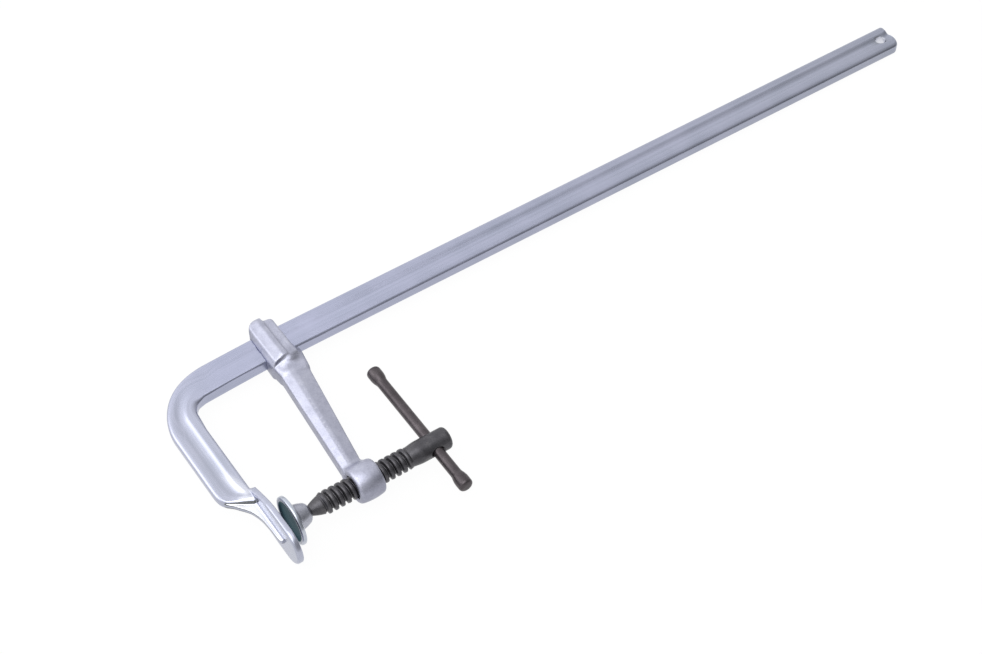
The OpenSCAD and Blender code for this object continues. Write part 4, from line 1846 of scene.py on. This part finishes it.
@dataclass
class ScrewSpindle:
    """The black screw: ball tip, neck, cone, rounded thread and drilled head."""

    ball_x: float = 13.8
    ball_r: float = 4.4
    neck_r: float = 2.7
    cone: Pair = (3.1, 6.5)
    thread_x: float = 29.0
    thread_l: float = 68.0
    thread_r: float = 8.0
    core_r: float = 5.8
    pitch: float = 4.8
    head_l: float = 30.5
    head_r: float = 8.0
    cross_x: float = 115.5
    cross_r: float = 4.2
    around: int = 96
    turn_steps: int = 24
    quick_steps: int = 10
    sharp: float = 42.0
    finish: BlackOxide = field(default_factory=BlackOxide)

    def build(self, effects: Effects) -> None:
        """Makes the spindle and dresses it.

        Args:
            effects: The shared node groups.
        """
        turn = np.linspace(0.0, -2 * math.pi, self.around, endpoint=False)
        steps = self.turn_steps
        count = int(self.thread_l / self.pitch * steps)
        thread = [(self.thread_x + x, self._thread(x, turn))
                  for x in np.linspace(0.0, self.thread_l, count)]
        rows = [*self._nose(), *thread, *self._head()]
        x = np.repeat([row[0] for row in rows], self.around)
        radius = np.concatenate([np.broadcast_to(row[1], self.around) for row in rows])
        turns = np.tile(turn, len(rows))
        points = np.stack([x, radius * np.cos(turns), radius * np.sin(turns)], -1)
        obj = mesh_object("spindle_screw", points, ring_faces(len(rows), self.around),
                          np.stack([x, radius], -1), self.sharp)
        self._drill(obj)
        settle(obj, Body.SPINDLE, ("spindle",), [self.finish.make(effects)])

    def _nose(self) -> list[Pair]:
        """Place and radius along the ball, the neck and the cone."""
        rows = []
        for a in np.radians(np.linspace(0.0, 140.0, 22)):
            radius = self.ball_r * math.sin(a)
            if a > math.pi / 2 and radius < self.neck_r:
                break
            rows.append((self.ball_x - self.ball_r * math.cos(a), radius))
        rows += [(self.ball_x + 3.7, self.neck_r), (self.ball_x + 4.4, self.neck_r),
                 (self.ball_x + 5.1, self.neck_r + 0.1)]
        start = self.ball_x + 5.9
        for share in np.linspace(0.0, 1.0, 12):
            swell = 0.25 * math.sin(math.pi * share)
            radius = self.cone[0] + (self.cone[1] - self.cone[0]) * share + swell
            rows.append((start + (self.thread_x - 0.5 - start) * share, radius))
        return rows

    def _thread(self, x: float, turn: np.ndarray) -> np.ndarray:
        """Radii round the screw at a place along the thread.

        Args:
            x: Place from the thread's start.
            turn: Angles round the screw.

        Returns:
            One radius for each angle.
        """
        near = min(1.0, x * 2.0 / self.pitch)
        far = min(1.0, (self.thread_l - x) * 2.0 / self.pitch)
        phase = x / self.pitch - turn / (2 * math.pi) + 0.25
        apart = np.abs((phase - np.floor(phase)) - 0.5) * 2.0
        form = ramp(apart, 0.9, 0.4) - 0.06 * ramp(apart, 0.0, 0.4)
        depth = (self.thread_r - self.core_r) * max(min(near, far), 0.0)
        root = self.core_r + 0.7 * ramp(near, 1.0, 0.0) + 1.3 * ramp(far, 1.0, 0.0)
        return np.minimum(root + depth * form, self.thread_r)

    def _head(self) -> list[Pair]:
        """Place and radius along the head."""
        start = self.thread_x + self.thread_l
        end = start + self.head_l
        r = self.head_r
        return [(start + 0.3, r - 0.85), (start + 1.2, r - 0.7), (start + 2.6, r - 0.55),
                (start + 4.2, r - 0.3), (start + 6.0, r - 0.08), (start + 8.0, r),
                (start + 14.0, r), (end - 6.0, r), (end - 3.0, r), (end - 2.2, r - 0.06),
                (end - 1.6, r - 0.25), (end - 1.0, r - 0.6), (end - 0.5, r - 1.1),
                (end - 0.15, r - 1.8), (end, r - 2.8), (end, r - 5.5), (end, 0.0)]

    def _drill(self, obj: bpy.types.Object) -> None:
        """Drills the cross hole of the tommy bar, with broken edges.

        Args:
            obj: The spindle.
        """
        wall = math.sqrt(self.head_r ** 2 - self.cross_r ** 2)
        profile = np.array([(-12.0, 0.0), (-12.0, self.cross_r + 5.4), (-wall, self.cross_r + 0.3),
                            (-wall + 0.4, self.cross_r), (wall - 0.4, self.cross_r),
                            (wall, self.cross_r + 0.3), (12.0, self.cross_r + 5.4),
                            (12.0, 0.0)])
        cutter = turned_object("cross_cutter", profile, Axis.Y, 64, (self.cross_x, 0.0, 0.0))
        cut_with(obj, cutter, self.sharp)


@dataclass
class TommyBar:
    """The sliding rod with an upset knob at each end."""

    cross_x: float = 115.5
    low: float = -41.55
    length: float = 117.5
    rod_r: float = 4.0
    knob_r: float = 5.2
    knob_l: float = 14.0
    finish: BlackOxide = field(default_factory=lambda: BlackOxide(
        name="black_oxide_warm", base=colour(0.074, 0.064, 0.069),
        light=colour(0.16, 0.14, 0.146), dark=colour(0.046, 0.04, 0.044), gloss=0.33))

    def build(self, effects: Effects) -> None:
        """Makes the rod and dresses it.

        Args:
            effects: The shared node groups.
        """
        knob = self._knob()
        span = np.linspace(self.knob_l + 4, self.length - self.knob_l - 4, 24)
        middle = [(y, self.rod_r) for y in span]
        other = [(self.length - y, r) for y, r in knob[::-1]]
        profile = np.array(knob + middle + other)
        profile[:, 0] += self.low
        obj = turned_object("tommy_rod", profile, Axis.Y, 72, (self.cross_x, 0.0, 0.0), 50.0)
        settle(obj, Body.TOMMY_BAR, ("tommy_bar",), [self.finish.make(effects)])

    def _knob(self) -> list[Pair]:
        """Place and radius along one knob, from its end."""
        k = self.knob_r
        knots = [(0.0, 0.0), (0.0, k - 3.2), (0.1, k - 2.2), (0.45, k - 1.2), (1.1, k - 0.45),
                 (2.0, k - 0.08), (3.2, k), (6.6, k), (8.2, k - 0.14),
                 (10.2, (k + self.rod_r) / 2 + 0.08), (12.2, self.rod_r + 0.16),
                 (self.knob_l, self.rod_r)]
        path = smooth_path(knots, 56)
        path[:, 1] = np.maximum(path[:, 1], 0.0)
        return [(max(float(a), 0.0), float(b)) for a, b in path]


# Pressure pad


@dataclass
class PressurePad:
    """The round plate, its crimped socket collar and the hidden ring."""

    front: float = 6.0
    plate_r: float = 17.5
    plate_t: float = 3.0
    hub_h: float = 2.2
    recess: Pair = (13.9, 1.2)
    bevel: float = 1.0
    ball_x: float = 13.8
    collar_r: float = 9.0
    shoulder_r: float = 7.2
    mouth_r: float = 5.1
    inner_r: float = 4.4
    rim: TurnedSteel = field(default_factory=TurnedSteel)
    # The recessed face is painted dark teal: a painted reflection of the jaw plate's shaded face
    # across the gap.
    face: TurnedSteel = field(default_factory=lambda: TurnedSteel(
        name="face_painted_reflection", base=colour(0.045, 0.068, 0.08), light=colour(0.1, 0.13, 0.145),
        dark=colour(0.02, 0.032, 0.04), grazing=colour(0.45, 0.52, 0.55), gloss=0.26))
    land: TurnedSteel = field(default_factory=lambda: TurnedSteel(
        name="face_land", base=colour(0.27, 0.29, 0.36), light=colour(0.36, 0.38, 0.46),
        dark=colour(0.18, 0.2, 0.25), gloss=0.26))
    collar: ForgedZinc = field(default_factory=lambda: ForgedZinc(
        name="collar_zinc", base=colour(0.37, 0.38, 0.44), light=colour(0.5, 0.51, 0.57),
        dark=colour(0.24, 0.245, 0.29), fineness=1400.0, depth=0.06, gloss=0.34, seam_dark=0.0))
    spring: TurnedSteel = field(default_factory=lambda: TurnedSteel(
        name="spring_steel", base=colour(0.3, 0.3, 0.31), light=colour(0.4, 0.4, 0.41),
        dark=colour(0.2, 0.2, 0.21), gloss=0.35))

    def build(self, effects: Effects, nodes: dict[str, bpy.types.Object]) -> None:
        """Makes the plate and the collar and dresses them and the ring.

        Args:
            effects: The shared node groups.
            nodes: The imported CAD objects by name.
        """
        plate = self._plate()
        settle(plate, Body.PRESSURE_PAD, ("pressure_plate",),
               [self.rim.make(effects), self.face.make(effects), self.land.make(effects)])
        for face in plate.data.polygons:
            middle = face.center
            radius = math.hypot(middle.y, middle.z) / MM
            deep = middle.x < (self.front + self.recess[1] + 0.3) * MM
            if deep and radius < self.plate_r - self.bevel - 0.4:
                # The recess gets the painted reflection.
                face.material_index = 1 if radius < self.recess[0] + 0.5 else 2
        collar = self._collar()
        settle(collar, Body.PRESSURE_PAD, ("socket_collar",),
               [self.collar.make(effects)])
        steel = self.spring.make(effects)
        for slot in nodes["retaining_ring"].material_slots:
            slot.link = "OBJECT"
            slot.material = steel
        LOG.info("retaining_ring: CAD node with %s", steel.name)

    def _plate(self) -> bpy.types.Object:
        """Round plate with a recessed face, a bright bevel, a coned back and the ball's seat."""
        rim = self.front + self.plate_t
        hub = rim + self.hub_h
        r = self.plate_r
        b = self.bevel
        low, sink = self.recess
        f = self.front
        knots = [(f + sink, 0.0), (f + sink, 4.0), (f + sink, low - 1.6),
                 (f + sink * 0.9, low - 0.8), (f + sink * 0.5, low),
                 (f + sink * 0.12, low + 0.7), (f, low + 1.3), (f, r - b - 0.9), (f, r - b - 0.3),
                 (f + 0.06, r - b + 0.05), (f + 0.2, r - 0.55), (f + 0.42, r - 0.24),
                 (f + 0.72, r - 0.05), (f + 1.05, r), (rim - 0.7, r), (rim - 0.3, r - 0.12),
                 (rim, r - 0.5), (rim + 0.2, r - 1.1)]
        foot = self.collar_r + 0.8
        for share in (0.25, 0.5, 0.75, 1.0):
            place = rim + 0.2 + (self.hub_h - 0.2) * share
            knots.append((place, r - 1.1 + (foot - r + 1.1) * share))
        seat = [(hub, 3.8), (hub - 0.6, 3.4), (hub - 1.2, 2.6), (hub - 1.7, 1.7), (hub - 2.0, 0.0)]
        return turned_object("pad_plate", np.array(knots + seat), around=128, sharp=30.0)

    def _collar(self) -> bpy.types.Object:
        """Crimped collar, with a soft foot on the plate and a rolled mouth."""
        back = self.front + self.plate_t + self.hub_h
        mouth = self.ball_x + 6.5
        outer = smooth_path([
            (back, self.collar_r + 0.7), (back + 0.25, self.collar_r + 0.25),
            (back + 0.9, self.collar_r), (back + 2.2, self.collar_r - 0.25),
            (self.ball_x + 1.6, self.shoulder_r + 1.0), (self.ball_x + 3.4, self.shoulder_r + 0.35),
            (self.ball_x + 4.8, self.shoulder_r - 0.25), (self.ball_x + 5.7, self.mouth_r + 1.0),
            (mouth - 0.3, self.mouth_r + 0.35), (mouth, self.mouth_r)], 60)
        inner = np.array([(mouth, self.inner_r + 0.3), (mouth - 0.2, self.inner_r + 0.05),
                          (mouth - 0.5, self.inner_r), (self.ball_x + 4.8, self.inner_r),
                          (self.ball_x + 4.6, 5.4), (back + 0.1, 5.4), (back + 0.05, 5.4)])
        profile = np.vstack([outer, inner])
        return turned_object("collar_crimp", profile, sharp=40.0)


# Studio


@dataclass(frozen=True)
class SkyLobe:
    """One soft bright or dark patch of the studio's dome."""

    toward: Triple
    start: float
    end: float
    level: float


@dataclass
class Studio:
    """The floor, the pale dome, the soft key lamp and the camera of the picture."""

    eye: Triple = (-0.2790, -0.6507, 1.0282)
    right: Triple = (0.82762, -0.56129, 0.0)
    up: Triple = (0.43020, 0.63432, 0.64232)
    forward: Triple = (0.36053, 0.53159, -0.76644)
    lens: float = 70.57
    floor_level: Triple = (0.0123, 0.0362, -0.01759)
    floor_size: float = 7.0
    floor_count: int = 24
    floor_glow: float = 0.96
    lamp_place: Triple = (-0.85, 0.8, 1.0)
    lamp_aim: Triple = (0.05, 0.06, 0.0)
    lamp_size: float = 0.8
    lamp_power: float = 0.45
    ground: float = 0.72
    lobes: tuple[SkyLobe, ...] = (
        SkyLobe((-0.55, 0.53, 0.64), 0.1, 1.0, 0.55),
        SkyLobe((-0.62, 0.55, 0.54), 0.93, 1.0, 1.3),
        SkyLobe((-0.3, -0.15, 0.94), 0.81, 0.97, 2.1),
        SkyLobe((0.85, 0.45, 0.3), 0.8, 1.0, 0.25),
        SkyLobe((0.0, 0.98, 0.2), 0.5, 1.0, 0.2),
        SkyLobe((0.36, -0.88, 0.3), 0.66, 0.97, -0.22),
        SkyLobe((0.85, -0.42, 0.1), 0.4, 0.95, -0.24),
    )

    def build(self) -> None:
        """Makes the whole studio."""
        self._camera()
        self._floor()
        self._dome()
        self._lamp()

    def _camera(self) -> None:
        """Stands the camera where the photograph was taken from."""
        data = bpy.data.cameras.new("picture_camera")
        data.lens = self.lens
        data.sensor_width = 36.0
        data.clip_start = 0.01
        data.clip_end = 50.0
        camera = bpy.data.objects.new("picture_camera", data)
        back = tuple(-v for v in self.forward)
        turn = Matrix((self.right, self.up, back)).transposed().normalized()
        camera.matrix_world = Matrix.Translation(Vector(self.eye)) @ turn.to_4x4()
        bpy.context.scene.collection.objects.link(camera)
        bpy.context.scene.camera = camera

    def _floor(self) -> None:
        """Lays a pale floor, sloping as the clamp leans on it at rest."""
        slope_x, slope_y, level = self.floor_level
        reach = self.floor_size
        count = self.floor_count
        ticks = np.linspace(-reach, reach, count)
        x, y = np.meshgrid(ticks, ticks, indexing="ij")
        x = x + 0.2
        z = slope_x * x + slope_y * y + level
        points = np.stack([x.ravel(), y.ravel(), z.ravel()], -1) / MM
        faces = [(i * count + j, (i + 1) * count + j, (i + 1) * count + j + 1, i * count + j + 1)
                 for i in range(count - 1) for j in range(count - 1)]
        floor = mesh_object("studio_floor", points, faces)
        floor.data.materials.append(self._floor_finish())
        floor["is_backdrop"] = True

    def _floor_finish(self) -> bpy.types.Material:
        """White paper that keeps a faint shadow, for the camera and in the metal."""
        material = bpy.data.materials.new("white_paper")
        material.use_nodes = True
        desk = NodeDesk(material.node_tree)
        paper = desk.add("ShaderNodeBsdfDiffuse")
        fibre = desk.noise(desk.add("ShaderNodeTexCoord").outputs["Object"], 30.0, 3.0)
        shade = desk.blend(fibre, colour(0.965, 0.965, 0.97), colour(0.985, 0.985, 0.985))
        desk.feed(paper.inputs["Color"], shade)
        glow = desk.add("ShaderNodeEmission")
        glow.inputs["Color"].default_value = colour(1.0, 1.0, 1.0)
        path = desk.add("ShaderNodeLightPath")
        seen = desk.math("MAXIMUM", path.outputs["Is Camera Ray"], path.outputs["Is Glossy Ray"])
        seen = desk.math("MAXIMUM", seen, path.outputs["Is Transmission Ray"])
        mix = desk.add("ShaderNodeMixShader")
        desk.feed(mix.inputs[0], desk.math("MULTIPLY", seen, self.floor_glow))
        desk.feed(mix.inputs[1], paper.outputs[0])
        desk.feed(mix.inputs[2], glow.outputs[0])
        out = desk.add("ShaderNodeOutputMaterial")
        desk.feed(out.inputs["Surface"], mix.outputs[0])
        return material

    def _dome(self) -> None:
        """Surrounds the scene with an even pale dome and its bright and dark patches."""
        world = bpy.data.worlds.new("studio_dome")
        world.use_nodes = True
        desk = NodeDesk(world.node_tree)
        toward = desk.add("ShaderNodeTexCoord").outputs["Generated"]
        level: Any = self.ground
        for lobe in self.lobes:
            length = math.sqrt(sum(v * v for v in lobe.toward))
            unit = tuple(v / length for v in lobe.toward)
            near = desk.vector("DOT_PRODUCT", toward, unit)
            level = desk.math("ADD", level, desk.span(near, lobe.start, lobe.end, 0.0, lobe.level))
        shade = desk.add("ShaderNodeBackground")
        desk.feed(shade.inputs["Color"], colour(0.985, 0.99, 1.0))
        desk.feed(shade.inputs["Strength"], level)
        out = desk.add("ShaderNodeOutputWorld")
        desk.feed(out.inputs["Surface"], shade.outputs[0])
        bpy.context.scene.world = world

    def _lamp(self) -> None:
        """Hangs the large soft key at the upper left."""
        data = bpy.data.lights.new("key_softbox", "AREA")
        data.shape = "RECTANGLE"
        data.size = self.lamp_size
        data.size_y = self.lamp_size
        data.energy = self.lamp_power
        lamp = bpy.data.objects.new("key_softbox", data)
        away = Vector(self.lamp_place) - Vector(self.lamp_aim)
        lamp.location = self.lamp_place
        lamp.rotation_euler = away.to_track_quat("Z", "Y").to_euler()
        bpy.context.scene.collection.objects.link(lamp)


def main() -> None:
    """Loads the frame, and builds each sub-assembly and the studio."""
    logging.basicConfig(level=logging.INFO, format="%(name)s: %(message)s")
    bpy.ops.wm.read_factory_settings(use_empty=True)
    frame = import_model()
    low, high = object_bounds()
    cad = (low.copy(), high.copy())
    bpy.context.scene.view_settings.view_transform = "Standard"
    effects = Effects()
    RailForging().build(effects)
    SlidingArm().build(effects)
    ScrewSpindle().build(effects)
    TommyBar().build(effects)
    PressurePad().build(effects, frame["nodes"])
    Studio().build()


if __name__ == "__main__":
    main()
